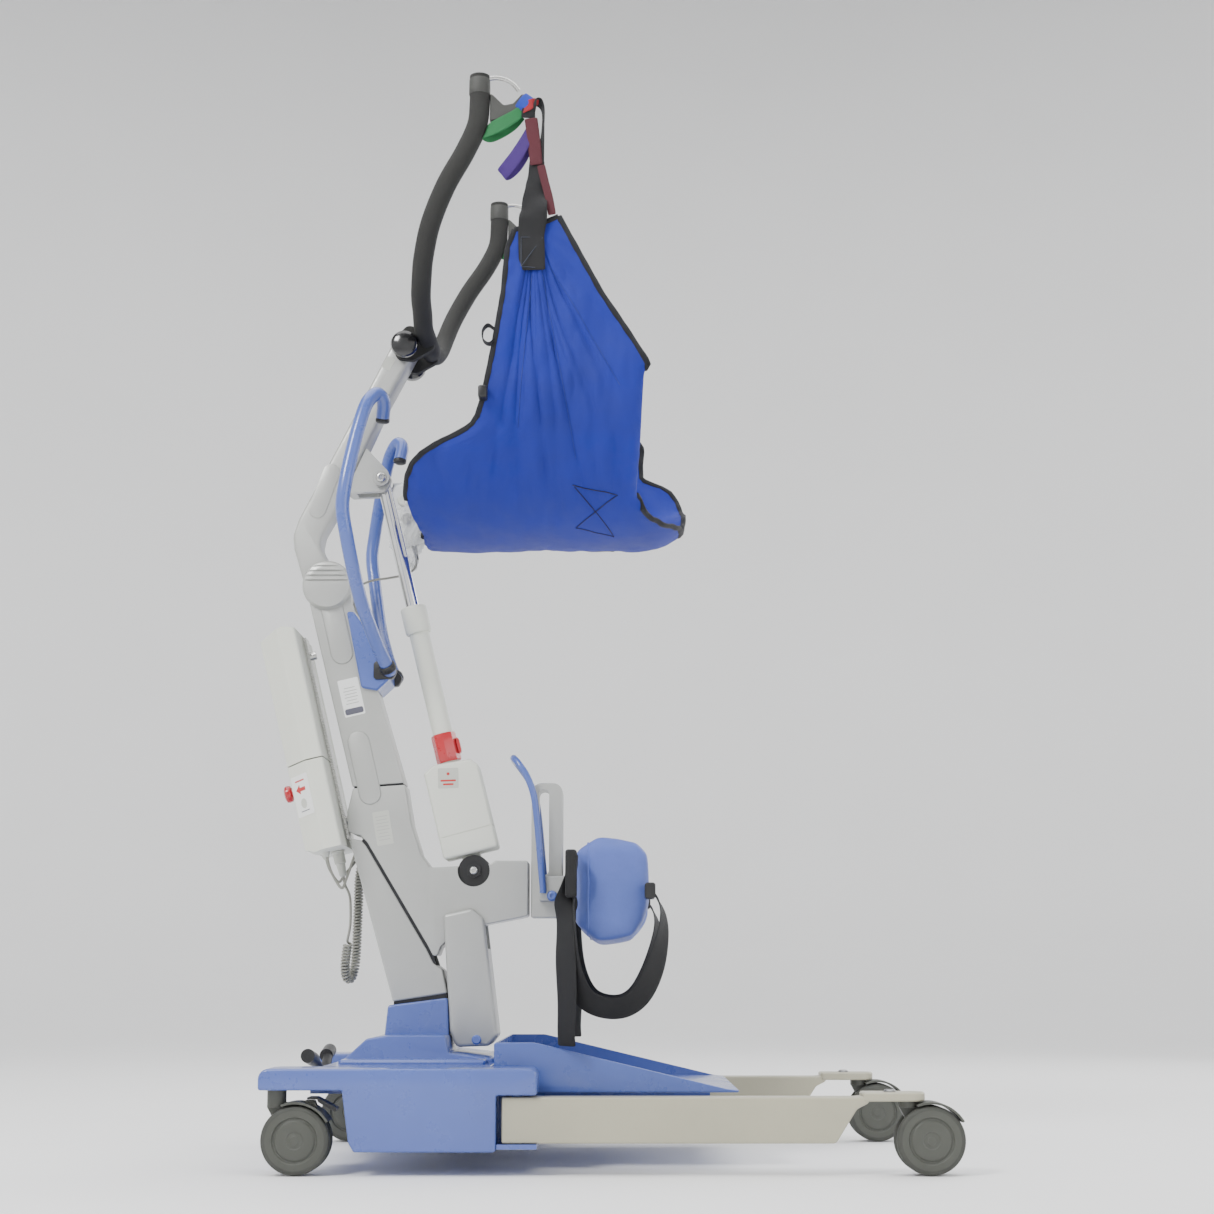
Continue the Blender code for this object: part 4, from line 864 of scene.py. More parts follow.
# -------------------------------------------------------------------- boom
arm = slab("boom", rounded([
    (-511, 925, 10), (-517, 946, 20), (-529, 986, 30), (-531, 1009, 30), (-522, 1037, 40),
    (-470, 1139), (-394, 1291), (-373, 1333, 12), (-354, 1346, 8), (-330, 1329, 8), (-377, 1238),
    (-404, 1177), (-461, 1050, 40), (-482, 1012, 30), (-486, 990, 20), (-470, 962, 14),
    (-436, 935, 10)], steps=6), -BOOM_HALF_Y, BOOM_HALF_Y, bevel=6, segments=3, angle=50)
root = slab("root", circle(PIVOT[0], PIVOT[1], 39.5, 64), -BOOM_HALF_Y, BOOM_HALF_Y)
hole = rod("hole", (PIVOT[0], -60, PIVOT[1]), (PIVOT[0], 60, PIVOT[1]), 10.5, 40)
tip_hole = rod("tip_hole", (-347, -60, 1322), (-347, 60, 1322), 9.5, 40)
boom = finish("boom", cut(join(arm, root), hole, tip_hole), grey)

gusset = slab("boom_gusset", rounded([
    (-413.5, 1158, 3), (-376, 1118, 8), (-371, 1098, 10), (-379, 1084, 6), (-438, 1081, 3),
    (-444.3, 1085, 2)], steps=6), -24, 24)
edge_cut = slab("edge_cut", [(-460.4, 1050), (-403.4, 1177), (-403.4, 1200), (-480, 1200), (-480, 1050)],
                -60, 60)
mouth = slab("mouth", [(-433, 1070), (-407, 1132), (-395, 1160), (-340, 1160), (-340, 1070)], -14, 14)
gusset = cut(gusset, edge_cut, mouth)
bush_r = rod("bush_r", (ACT_HIGH[0], -32, ACT_HIGH[1]), (ACT_HIGH[0], -20, ACT_HIGH[1]), 11, 40)
bush_l = rod("bush_l", (ACT_HIGH[0], 32, ACT_HIGH[1]), (ACT_HIGH[0], 20, ACT_HIGH[1]), 11, 40)
boom_gusset = finish("boom_gusset", join(gusset, bush_r, bush_l), grey)

# ---------------------------------------------------------------- actuator
case = slab("actuator_housing", rounded([
    on_act(-43, 28), on_act(-43, 172), on_act(-24, 182), on_act(36, 178), on_act(46, 166),
    on_act(47, 28)], 5.0, 3), -38, 38, bevel=5, segments=3, angle=50)
neck = slab("neck", [on_act(-15, 0), on_act(-15, 34), on_act(15, 34), on_act(15, 0)], -11, 11)
eye = slab("eye", circle(*ACT_LOW, 16, 48), -12, 12)
pin_hole = rod("pin_hole", (ACT_LOW[0], -60, ACT_LOW[1]), (ACT_LOW[0], 60, ACT_LOW[1]), 8.6, 40)
ring_out = slab("ring_out", [on_act(-60, 62.0), on_act(-60, 63.2), on_act(60, 66.2), on_act(60, 65.0)], -50, 50)
ring_in = slab("ring_in", rounded([on_act(-42.1, 20), on_act(-42.1, 180), on_act(46.0, 180), on_act(46.0, 20)], 4, 3),
               -37.1, 37.1)
actuator_housing = finish("actuator_housing", cut(cut(join(case, neck, eye), pin_hole), cut(ring_out, ring_in)), white)


def along(profile, name, segments=56):
    """A turned piece on the actuator's axis, heights measured from its lower pin."""
    return turned(name, profile, (ACT_LOW[0], 0, ACT_LOW[1]), (ACT_DIR.x, 0, ACT_DIR.y), segments)


actuator_tube = finish("actuator_tube", along([
    (11.6, 450), (20, 450), (COLLAR_R, 448), (COLLAR_R, 408), (20, 405), (TUBE_R, 405), (TUBE_R, 183),
    (0, 183), (0, 204), (11.6, 204), (11.6, 450)], "actuator_tube"), white)

ring = along([(17.2, 232), (19.5, 232), (20.5, 229), (20.5, 187), (19.5, 184.5), (17.2, 184.5), (17.2, 232)],
             "release_ring", 8)
tab = slab("tab", rounded([on_act(19, 224), on_act(24, 218), on_act(24, 198), on_act(19, 192)], 2, 1),
           -7, 7)
release_ring = finish("release_ring", join(ring, tab), red)

shaft = along([(0, 660), (ROD_R, 660), (ROD_R, 410), (0, 410)], "actuator_rod", 48)
head = slab("head", circle(*ACT_HIGH, 15, 48), -11, 11)
actuator_rod = finish("actuator_rod", join(shaft, head), chrome)

ears = []
for s in (-1, 1):
    ears.append(slab("ear", circle(*ACT_LOW, 25.6, 56), min(s * 14, s * 30), max(s * 14, s * 30)))
axle = rod("axle", (ACT_LOW[0], -34, ACT_LOW[1]), (ACT_LOW[0], 34, ACT_LOW[1]), 8, 40)
bolt = rod("bolt", (ACT_LOW[0], -37, ACT_LOW[1]), (ACT_LOW[0], -29, ACT_LOW[1]), 12, 6)
nut = rod("nut", (ACT_LOW[0], 37, ACT_LOW[1]), (ACT_LOW[0], 29, ACT_LOW[1]), 12, 6)
actuator_pin = join(ears[0], axle, ears[1], bolt, nut)
finish("actuator_pin", actuator_pin, black)

# ------------------------------------------------------- battery and control
rail = slab("battery_bracket", [in_mast(-15.6, -182), in_mast(-15.6, 158), in_mast(-10.6, 158),
                                in_mast(-10.6, -182)], -17, 17)
feet = []
for t in (-150, 128):
    a, b = in_mast(-12, t), in_mast(-7.5 if t < 0 else -1.6, t)
    feet.append(rod("foot", (a[0], 0, a[1]), (b[0], 0, b[1]), 7, 40))
battery_bracket = finish("battery_bracket", join(rail, *feet), steel)


def case_part(name, t0, t1):
    """A length of the chamfered battery and control case."""
    section = rounded([(BOX_N1, -BOX_HALF_Y, 5), (BOX_N1, BOX_HALF_Y, 5), (-45, BOX_HALF_Y, 4),
                       (BOX_N0, 55, 5), (BOX_N0, -55, 5), (-45, -BOX_HALF_Y, 4)], steps=6)
    ob = slab(name, section, t0, t1, plane=XY, move=(-SHIFT_X, 0, 0))
    c, s = math.cos(MAST_TILT), math.sin(MAST_TILT)
    m = Matrix(((c, 0, -s, 0), (0, 1, 0, 0), (s, 0, c, 0), (0, 0, 0, 1)))
    ob.data.transform(Matrix.Translation(P(MAST_REAR_POINT[0], 0, MAST_REAR_POINT[1])) @ m)
    return ob


pack = case_part("battery_pack", -50, 185)
roof = slab("roof", [in_mast(-110, 151), in_mast(-36, 169), in_mast(10, 155), in_mast(40, 260),
                     in_mast(-110, 260)], -120, 120)
battery_pack = finish("battery_pack", cut(pack, roof), white)
box = case_part("control_box", -204, -52)
under = slab("under", [in_mast(-110, -178), in_mast(-76, -190), in_mast(-62, -196), in_mast(10, -196),
                       in_mast(10, -260), in_mast(-110, -260)], -120, 120)
a, b = in_mast(BOX_N0 - 5, -87), in_mast(BOX_N0 + 8, -87)
well = rod("well", (a[0], 0, a[1]), (b[0], 0, b[1]), 9.8, 40)
control_box = finish("control_box", cut(box, under, well), white)

a = in_mast(BOX_N0 - 0.4, -87)
stop_button = finish("stop_button", turned("stop_button", [(0, 20), (9, 20), (13, 18), (14, 14), (13, 9), (9, 7), (9, 0), (0, 0)],
                            (a[0], 0, a[1]), (-math.cos(MAST_TILT), 0, -math.sin(MAST_TILT)), 48), red)

GLAND_N = -36.0
g = in_mast(GLAND_N, -196.4)
down = Vector((math.sin(MAST_TILT), 0, -math.cos(MAST_TILT)))
v_connector = finish("cord_connector", turned("cord_connector", [
    (0, 42), (4.5, 42), (6, 40), (7.5, 22), (9.5, 20), (9.5, 4), (11, 2), (11, 0), (0, 0)],
    (g[0], 0, g[1]), down, 40), labelgrey)

# ------------------------------------------------------------ push handles
clamp = slab("handle_bracket", rounded([
    (-438, 878, 4), (-426, 877, 6), (-369, 796, 10), (-366, 766, 8), (-386, 747, 6), (-412, 752, 6)],
    steps=6), -46, 46, bevel=3, segments=1, angle=60)
mast_room = slab("mast_room", [(-424 + 0.7, 591), (-341.5 + 0.7, 597), (-429.3, 893), (-520, 905)],
                 -MAST_HALF_Y - 0.4, MAST_HALF_Y + 0.4)
handle_bracket = finish("handle_bracket", cut(clamp, mast_room), blue)

HANDLE = [(-366, -53, 779.5), (-379, -74, 807), (-391, -103, 840), (-403, -136, 879),
          (-412, -161, 921), (-421, -181, 972), (-427, -190, 1016), (-423, -191, 1057),
          (-412, -180, 1122), (-399.5, -168, 1178), (-391, -160, 1200), (-380, -150, 1212),
          (-371, -140, 1202), (-373.5, -128, 1175)]
push_handle_right, push_handle_left = pair(
    tube("handle", [(-366, -46.5, 779), (-366, -48.5, 779)] + through(HANDLE, 7), 11, 7),
                                           "push_handle_right", "push_handle_left", blue)

# ------------------------------------------------------ handset and its cord
HANDSET_TILT = math.radians(13)
hs = rounded([(-24, -56, 14), (24, -56, 14), (27, 10, 20), (25, 56, 16), (-25, 56, 16), (-27, 10, 20)], steps=6)
ca, sa = math.cos(HANDSET_TILT), math.sin(HANDSET_TILT)
HANDSET_C = (-366.0, 1092.0)
hs = [(HANDSET_C[0] + x * ca - z * sa, HANDSET_C[1] + x * sa + z * ca) for x, z in hs]
shell = slab("handset", hs, 180, 206, bevel=4, segments=3, angle=50)
clip = slab("clip", rounded([(-398, 1132), (-398, 1148, 6), (-378, 1150, 4), (-376, 1128)], steps=6), 182, 194)
grip_room = tube("grip_room", [(x, -y, z) for x, y, z in through(HANDLE, 2)], 12, 3)
handset = cut(join(shell, clip), grip_room)
for dz in (26, -8):
    cx, cz = HANDSET_C[0] - dz * sa, HANDSET_C[1] + dz * ca
    handset = cut(handset, rod("well", (cx, 170, cz), (cx, 183.5, cz), 10.7, 40))
finish("handset", handset, white2)
for tag, dz, tone in (("up", 26, white), ("down", -8, black)):
    cx, cz = HANDSET_C[0] - dz * sa, HANDSET_C[1] + dz * ca
    b = turned("handset_button_" + tag, [(0, 4.0), (8, 4.0), (10, 2.5), (10, 0), (0, 0)],
               (cx, 179.6, cz), (0, -1, 0), 40)
    finish("handset_button_" + tag, b, tone)

c0 = (g[0] + down.x * 42.4, g[1] + down.z * 42.4)
LOWER_CORD = [(c0[0], 0, c0[1]), (c0[0] + 3.2, 0, c0[1] - 14), (-431, 1, 415), (-429.5, 4, 385),
              (-431, 8, 360), (-434.0, 13, 342)]
COIL = [(-434.3, 13.3, 341.2), (-437.5, 19, 322), (-440, 26, 300), (-438.5, 36, 284), (-432.5, 46, 283),
        (-428, 54, 300), (-426, 57, 330), (-425, 58, 370), (-424, 58, 410), (-423, 58, 450),
        (-414, 58.5, 500), (-408, 60, 555), (-414, 62, 620), (-431, 64, 695), (-449, 66, 772),
        (-464, 70, 840), (-464, 80, 890), (-456, 92, 922)]
e = Vector(COIL[-1])
bottom = (HANDSET_C[0] + 56.5 * sa, HANDSET_C[1] - 56.5 * ca)
UPPER_CORD = [(-455.7, 92.5, 923.2), (-450, 104, 938), (-438, 122, 954), (-418, 143, 967),
              (-394, 163, 975), (-366, 180, 985), (-350, 188, 1000), (bottom[0] + 2.2, 192, bottom[1] - 14),
              (bottom[0] + 0.1, 192, bottom[1] - 0.5)]

# ------------------------------------------------------- cradle and hooks
CRADLE_HALF = [(-310, 0, 1335), (-312, -36, 1338), (-315, -70, 1346), (-313, -112, 1358), (-312, -150, 1372),
               (-308, -182, 1394), (-303, -205, 1420), (-290, -230, 1465), (-265, -248, 1520),
               (-235, -258, 1570), (-216, -262, 1612), (-212, -262, 1650), (-212, -262, 1693)]
CRADLE_R = 16.0
whole = CRADLE_HALF[:0:-1] + [(x, -y, z) for x, y, z in CRADLE_HALF]
bar = tube("cradle_bar", through(whole, 6), CRADLE_R, 8)
yoke = []
for s in (-1, 1):
    yoke.append(slab("yoke", rounded([(-366, 1306, 14), (-366, 1340, 14), (-345, 1362, 12), (-300, 1352, 12),
                                      (-300, 1322, 12), (-335, 1302, 10)], steps=6),
                     min(s * 29.5, s * 42), max(s * 29.5, s * 42)))
bore = rod("bore", (-347, -60, 1322), (-347, 60, 1322), 9.5, 40)
cradle_bar = finish("cradle_bar", cut(join(bar, *yoke), bore), foam)

KNOB = [(0, 24), (14, 24), (21, 20), (23, 14), (21, 6), (12, 2), (9, 0), (9, -42.6), (0, -42.6)]
shaft = rod("cradle_axle", (-347, -60, 1322), (-347, 60, 1322), 9, 40)
knobs = []
for s in (-1, 1):
    knobs.append(turned("knob", [(0, 24), (14, 24), (21, 20), (23, 14), (21, 6), (12, 2), (12, 0), (0, 0)],
                        (-347, s * 52, 1322), (0, s, 0), 48))
cradle_axle = finish("cradle_axle", join(shaft, *knobs), gloss)

hook = slab("hook", rounded([
    (-195.5, 1664, 2), (-190, 1660, 4), (-174, 1644, 6), (-159, 1647, 8), (-146, 1662, 6), (-134, 1662, 4),
    (-131, 1640, 8), (-149, 1629, 12), (-178, 1620, 14), (-195.5, 1618, 2)], steps=6),
    -HOOK_Y - 6, -HOOK_Y + 6, bevel=1.5, segments=1, angle=60)
hook_right, hook_left = pair(hook, "hook_right", "hook_left", rubbercap)
gate = tube("gate", through([
    (-199, -HOOK_Y, 1689.5), (-186, -HOOK_Y, 1691), (-172, -HOOK_Y, 1688), (-159, -HOOK_Y, 1680),
    (-150.5, -HOOK_Y, 1669.5)], 6), 3.6, 6)
gate_right, gate_left = pair(gate, "gate_right", "gate_left", steel)

# --------------------------------------------------------------- knee pad
rail = slab("knee_rail", rounded([
    (-134.5, 379.5, 3), (-134.5, 597.5, 16), (-84, 597.5, 16), (-84, 379.5, 3)], steps=6),
    -RAIL_HALF_Y, RAIL_HALF_Y, bevel=2, segments=3, angle=50)
rail_slot = slab("rail_slot", rounded([
    (-123, 448, 8), (-123, 587, 8), (-106, 587, 8), (-106, 448, 8)], steps=6), -50, 50)
knee_rail = finish("knee_rail", cut(rail, rail_slot), grey)

carriage = slab("knee_carriage", rounded([
    (-121, 405, 4), (-121, 446, 4), (-72, 446, 4), (-72, 405, 4)], steps=6), -46, 46, bevel=2, angle=50)
neck = slab("neck", [(-80, 398), (-80, 450), (-60, 450), (-60, 398)], -45, 45)
rail_room = slab("rail_room", [(-140, 380), (-140, 470), (-83.4, 470), (-83.4, 380)],
                 -RAIL_HALF_Y - 0.6, RAIL_HALF_Y + 0.6)
knee_carriage = finish("knee_carriage", cut(join(carriage, neck), rail_room), grey)

LEVER = [(-114.6, -52, 418), (-114.6, -52, 427), (-119, -52, 475), (-124, -52, 530), (-130, -52, 575),
         (-141, -51, 606), (-154, -46, 626), (-163, -34, 637), (-165, -12, 639)]
lever = tube("knee_lever", through(LEVER[:-1] + [(-165, -12, 639), (-165, 12, 639)]
                                   + [(x, -y, z) for x, y, z in LEVER[-2::-1]], 5), 5.5, 6)
knee_lever = finish("knee_lever", lever, blue)


# ------------------------------------------------------ small hard details
def plaque(name, node, origin, u, v, outline, material, thick=0.5, lift=0.0, bevel=0.0, angle=35.0):
    """A thin plate on a face: an outline (mm) in the plane of u and v."""
    u, v = Vector(u).normalized(), Vector(v).normalized()
    n = u.cross(v).normalized()
    v = n.cross(u)
    ob = slab(name, outline, lift, lift + thick, plane=XY, bevel=bevel, segments=2, move=(-SHIFT_X, 0, 0))
    o = P(*origin)
    m = Matrix(((u.x, v.x, n.x, o.x), (u.y, v.y, n.y, o.y), (u.z, v.z, n.z, o.z), (0, 0, 0, 1)))
    ob.data.transform(m)
    return extra(name, ob, node, material, angle)


def box2(w, h, r=2.0, cx=0.0, cy=0.0):
    return rounded([(cx - w / 2, cy - h / 2), (cx + w / 2, cy - h / 2), (cx + w / 2, cy + h / 2),
                    (cx - w / 2, cy + h / 2)], r, 4)


def stadium(length, r, n=16):
    """A long strip with round ends, from (0, 0) up to (0, length)."""
    return ([(r * math.cos(a), length + r * math.sin(a)) for a in [math.pi * i / n for i in range(n + 1)]]
            + [(r * math.cos(a), r * math.sin(a)) for a in [math.pi + math.pi * i / n for i in range(n + 1)]])


def joined(name, obs):
    """Several loose pieces as one object."""
    bm = bmesh.new()
    for o in obs:
        bm.from_mesh(o.data)
    mesh = bpy.data.meshes.new(name)
    bm.to_mesh(mesh)
    bm.free()
    for o in obs:
        bpy.data.objects.remove(o, do_unlink=True)
    return add(mesh, name)


def bolt_head(name, node, at, axis, r=7.0, h=4.0, material=None, hexagon=True):
    """A button-head screw with a socket in it."""
    prof = [(0, h - 2.2), (r * 0.42, h - 2.2), (r * 0.42, h), (r * 0.62, h), (r * 0.86, h * 0.78), (r, h * 0.35),
            (r, 0), (0, 0)]
    ob = turned(name, prof, at, axis, 40)
    return extra(name, ob, node, material or steel)


mast_u = Vector((math.cos(MAST_TILT), 0, math.sin(MAST_TILT)))
mast_v = Vector((-math.sin(MAST_TILT), 0, math.cos(MAST_TILT)))
for tag, s in (("right", -1), ("left", 1)):
    for key, (x, z), length, r, node in (("upper", (-445, 809.7), 78, 17.6, "mast_tube"),
                                         ("lower", (-395.7, 579.5), 86, 17.2, "mast_tube")):
        ob = slab("strip", [(a, b) for a, b in stadium(length, r)], 0, 2.2, plane=XY, bevel=1.2, segments=2,
                  move=(-SHIFT_X, 0, 0))
        o = P(x, s * (MAST_HALF_Y - 0.3), z)
        u, v = mast_u, mast_v
        n = Vector((0, s, 0))
        ob.data.transform(Matrix(((u.x, v.x, n.x, o.x), (u.y, v.y, n.y, o.y), (u.z, v.z, n.z, o.z), (0, 0, 0, 1))))
        if s > 0:
            ob.data.flip_normals()
        extra("mast_strip_" + key + "_" + tag, ob, node, grey)
        # a thin dark grey line round each raised strip: painted shadow along its edge
        rim = tube("rim", [(x + u.x * a + v.x * b, s * (MAST_HALF_Y + 0.05), z + u.z * a + v.z * b)
                           for a, b in stadium(length, r + 0.5) + [stadium(length, r + 0.5)[0]]], 0.55, 2)
        extra("mast_strip_rim_" + key + "_" + tag, rim, node, greydark)
    boom_v = Vector((-483 + 507, 0, 1115 - 1045)).normalized()
    boom_u = Vector((boom_v.z, 0, -boom_v.x))
    ob = slab("strip", [(a, b) for a, b in stadium(66, 14.5)], 0, 1.8, plane=XY, bevel=1.0, segments=2,
              move=(-SHIFT_X, 0, 0))
    o = P(-491, s * (BOOM_HALF_Y - 0.3), 1052)
    n = Vector((0, s, 0))
    ob.data.transform(Matrix(((boom_u.x, boom_v.x, n.x, o.x), (boom_u.y, boom_v.y, n.y, o.y),
                              (boom_u.z, boom_v.z, n.z, o.z), (0, 0, 0, 1))))
    if s > 0:
        ob.data.flip_normals()
    extra("boom_strip_" + tag, ob, "boom", grey)

# plain, unlettered plates where such a machine carries its labels
near = -MAST_HALF_Y
T = Vector((-mast_v.x, 0, mast_v.z))


def near_plate(name, node, x, z, w, h, y, material, tilt=13.3, thick=0.4, lift=0.0, cx=0.0, cy=0.0, r=2.0):
    a = math.radians(tilt)
    u = (math.cos(a), 0, math.sin(a))
    v = (-math.sin(a), 0, math.cos(a))
    return plaque(name, node, (x, y, z), u, v, box2(w, h, r, cx, cy), material, thick, lift)


near_plate("mast_plate", "mast_tube", -428.5, 737, 34, 62, near, labelm)
near_plate("mast_plate_foot", "mast_tube", -428.5, 737, 30, 10, near, labelink, lift=0.4, thick=0.15, cy=-23, r=3)
for k, w in enumerate((18, 22, 20, 22, 17, 21)):
    near_plate("mast_plate_line_%d" % k, "mast_tube", -428.5, 737, w, 1.1, near, greydark, lift=0.4, thick=0.12,
               cy=16 - 5.2 * k, r=0.4)
near_plate("body_plate", "mast_body", -374, 523.6, 27, 55, near, labelgrey, tilt=10)
for k, w in enumerate((20, 17, 21, 19, 21, 15, 20, 18)):
    near_plate("body_plate_line_%d" % k, "mast_body", -374, 523.6, w, 1.0, near, greydark, tilt=10, lift=0.4,
               thick=0.12, cy=19 - 5.4 * k, r=0.3)
near_plate("housing_plate", "actuator_housing", -269.5, 604.6, 33, 33, -38, labelgrey, tilt=2)
near_plate("housing_plate_bar_a", "actuator_housing", -269.5, 604.6, 25, 3.0, -38, labelred, tilt=2, lift=0.4, thick=0.12,
           cy=-4, r=0.8)
near_plate("housing_plate_bar_b", "actuator_housing", -269.5, 604.6, 17, 3.0, -38, labelred, tilt=2, lift=0.4, thick=0.12,
           cy=-10, r=0.8)
near_plate("housing_plate_dot", "actuator_housing", -269.5, 604.6, 5, 5, -38, labelred, tilt=2, lift=0.4, thick=0.12,
           cy=7, r=2.4)
near_plate("boom_plate", "boom", -377, 1301, 15, 22, -BOOM_HALF_Y, labelgrey, tilt=-27)

# on the case's bevelled edge: a white plate with an arrow towards the stop button
a, b = in_mast(-45, -103), in_mast(BOX_N0, -103)
p0, p1 = Vector((a[0], -BOX_HALF_Y, a[1])), Vector((b[0], -55, b[1]))
mid = (p0 + p1) / 2
bu = (p0 - p1).normalized()
bv = mast_v
plaque("case_plate", "control_box", mid, bu, bv, box2(48, 66, 3), labelm, 0.4)
plaque("case_arrow", "control_box", mid, bu, bv, [(-15, 10), (-3, 18), (-3, 13), (12, 13), (12, 7), (-3, 7), (-3, 2)],
       labelred, 0.15, 0.4)
plaque("case_bar_top", "control_box", mid, bu, bv, box2(26, 2.4, 0.8, 0, 24), labelred, 0.15, 0.4)
ring_o = [(8 * math.cos(t), -13 + 8 * math.sin(t)) for t in [2 * math.pi * i / 32 for i in range(32)]]
plaque("case_disc", "control_box", mid, bu, bv, ring_o, labelgrey, 0.2, 0.4)
plaque("case_bar_low", "control_box", mid, bu, bv, box2(24, 1.4, 0.5, 0, -25), labelink, 0.15, 0.4)

# screws and pins
bolt_head("pin_head_right", "actuator_pin", (ACT_LOW[0], -36.5, ACT_LOW[1]), (0, -1, 0), 6.5, 3.4, steel)
bolt_head("pin_head_left", "actuator_pin", (ACT_LOW[0], 36.5, ACT_LOW[1]), (0, 1, 0), 6.5, 3.4, steel)
for tag, s in (("right", -1), ("left", 1)):
    w = turned("washer", [(0, 1.6), (13.4, 1.6), (14.2, 0.8), (14.2, 0), (0, 0)], (ACT_HIGH[0], s * 31.8, ACT_HIGH[1]),
               (0, s, 0), 48)
    extra("upper_pin_washer_" + tag, w, "boom_gusset", greydark)
    bolt_head("upper_pin_head_" + tag, "boom_gusset", (ACT_HIGH[0], s * 33, ACT_HIGH[1]), (0, s, 0), 8.5, 5, steel)
    bolt_head("lever_screw_" + tag, "knee_carriage", (-100, s * 45.6, 414), (0, s, 0), 8.5, 6, bluecoat)
    bolt_head("leg_screw_" + tag, "leg_right" if s < 0 else "leg_left", (402, s * 300, PLATE_Z1 - 0.3), (0, 0, 1), 9, 4, darksteel)
    bolt_head("tray_screw_" + tag, "foot_tray", (-40, s * 150, 117.6), (0, 0, 1), 7, 3, steel)

# the handles' black end plugs and clamp knobs
for tag, s in (("right", -1), ("left", 1)):
    e0, e1 = Vector((-373.5, s * 128, 1175)), Vector((-374.2, s * 127, 1166))
    d = (e1 - e0).normalized()
    plug = turned("plug", [(0, 4.2), (8.0, 4.0), (11.0, 2.2), (11.4, 0), (11.4, -3), (0, -3)], e0 + d * 1.0, d, 40)
    extra("handle_plug_" + tag, plug, "push_handle_right", black)
    col = turned("collar", [(11.1, 5), (12.8, 4.5), (13.6, 2), (13.6, -5), (12.5, -7), (11.1, -7), (11.1, 5)],
                 (-368.5, s * 58, 784), Vector((-0.35, s * 0.65, 0.68)), 48)
    extra("handle_collar_" + tag, col, "handle_bracket", black)
    stub = slab("stub", rounded([(-392, 795, 6), (-368, 795, 8), (-353, 781, 8), (-360, 766, 6), (-392, 764, 6)], steps=4),
                min(s * 34, s * 50), max(s * 34, s * 50), bevel=2, segments=2)
    extra("handle_stub_" + tag, stub, "handle_bracket", black)

# tail of the mast foot: joint band where it enters the socket
neck = slab("neck", [(-353, 236), (-353, 247), (-268.5, 259.5), (-268.5, 246)], -36, 36)
extra("socket_neck", neck, "mast_foot", seam)
# dark packing in the joints between the mast's three castings
pack_a = slab("pack_a", [(-411, 500), (-404, 508), (-292, 322), (-284, 300), (-290, 298), (-300, 322)], -35.5, 35.5)
extra("mast_seam_low", pack_a, "mast_foot", seam)
pack_b = slab("pack_b", [(-422, 584), (-422, 596), (-344, 602), (-342, 588)], -35.5, 35.5)
extra("mast_seam_high", pack_b, "mast_body", seam)

# small blue release buttons on both sides of the strut
btn = turned("btn", [(0, 6), (5.5, 6), (7.5, 4), (7.5, 0), (0, 0)], (-219, -50, 186), (0, -1, 0), 40)
extra("strut_button_right", btn, "mast_strut", bluecoat)
btn = turned("btn", [(0, 6), (5.5, 6), (7.5, 4), (7.5, 0), (0, 0)], (-219, 50, 186), (0, 1, 0), 40)
extra("strut_button_left", btn, "mast_strut", bluecoat)

# end caps of the foam-covered cradle bar
for tag, s in (("right", -1), ("left", 1)):
    cap = turned("cap", [(0, 0.4), (10, 0.2), (14.5, -2.4), (16.6, -7), (16.8, -30), (16.2, -31), (0, -31)],
                 (-212, s * 262, 1693), (0, 0, 1), 56)
    extra("cradle_cap_" + tag, cap, "cradle_bar", rubbercap)

# wheel faces and treads
for node in ("front_wheel_right", "front_wheel_left", "rear_wheel_right", "rear_wheel_left"):
    ob = bpy.data.objects["v_" + node]
    ax = (FRONT_STEM_X + FRONT_TRAIL) if node.startswith("front") else (REAR_STEM_X + REAR_TRAIL)
    c = P(ax, 0, AXLE_Z)
    ob.data.materials.append(tread)
    for f in ob.data.polygons:
        if math.hypot(f.center.x - c.x, f.center.z - c.z) > 0.0385:
            f.material_index = 1

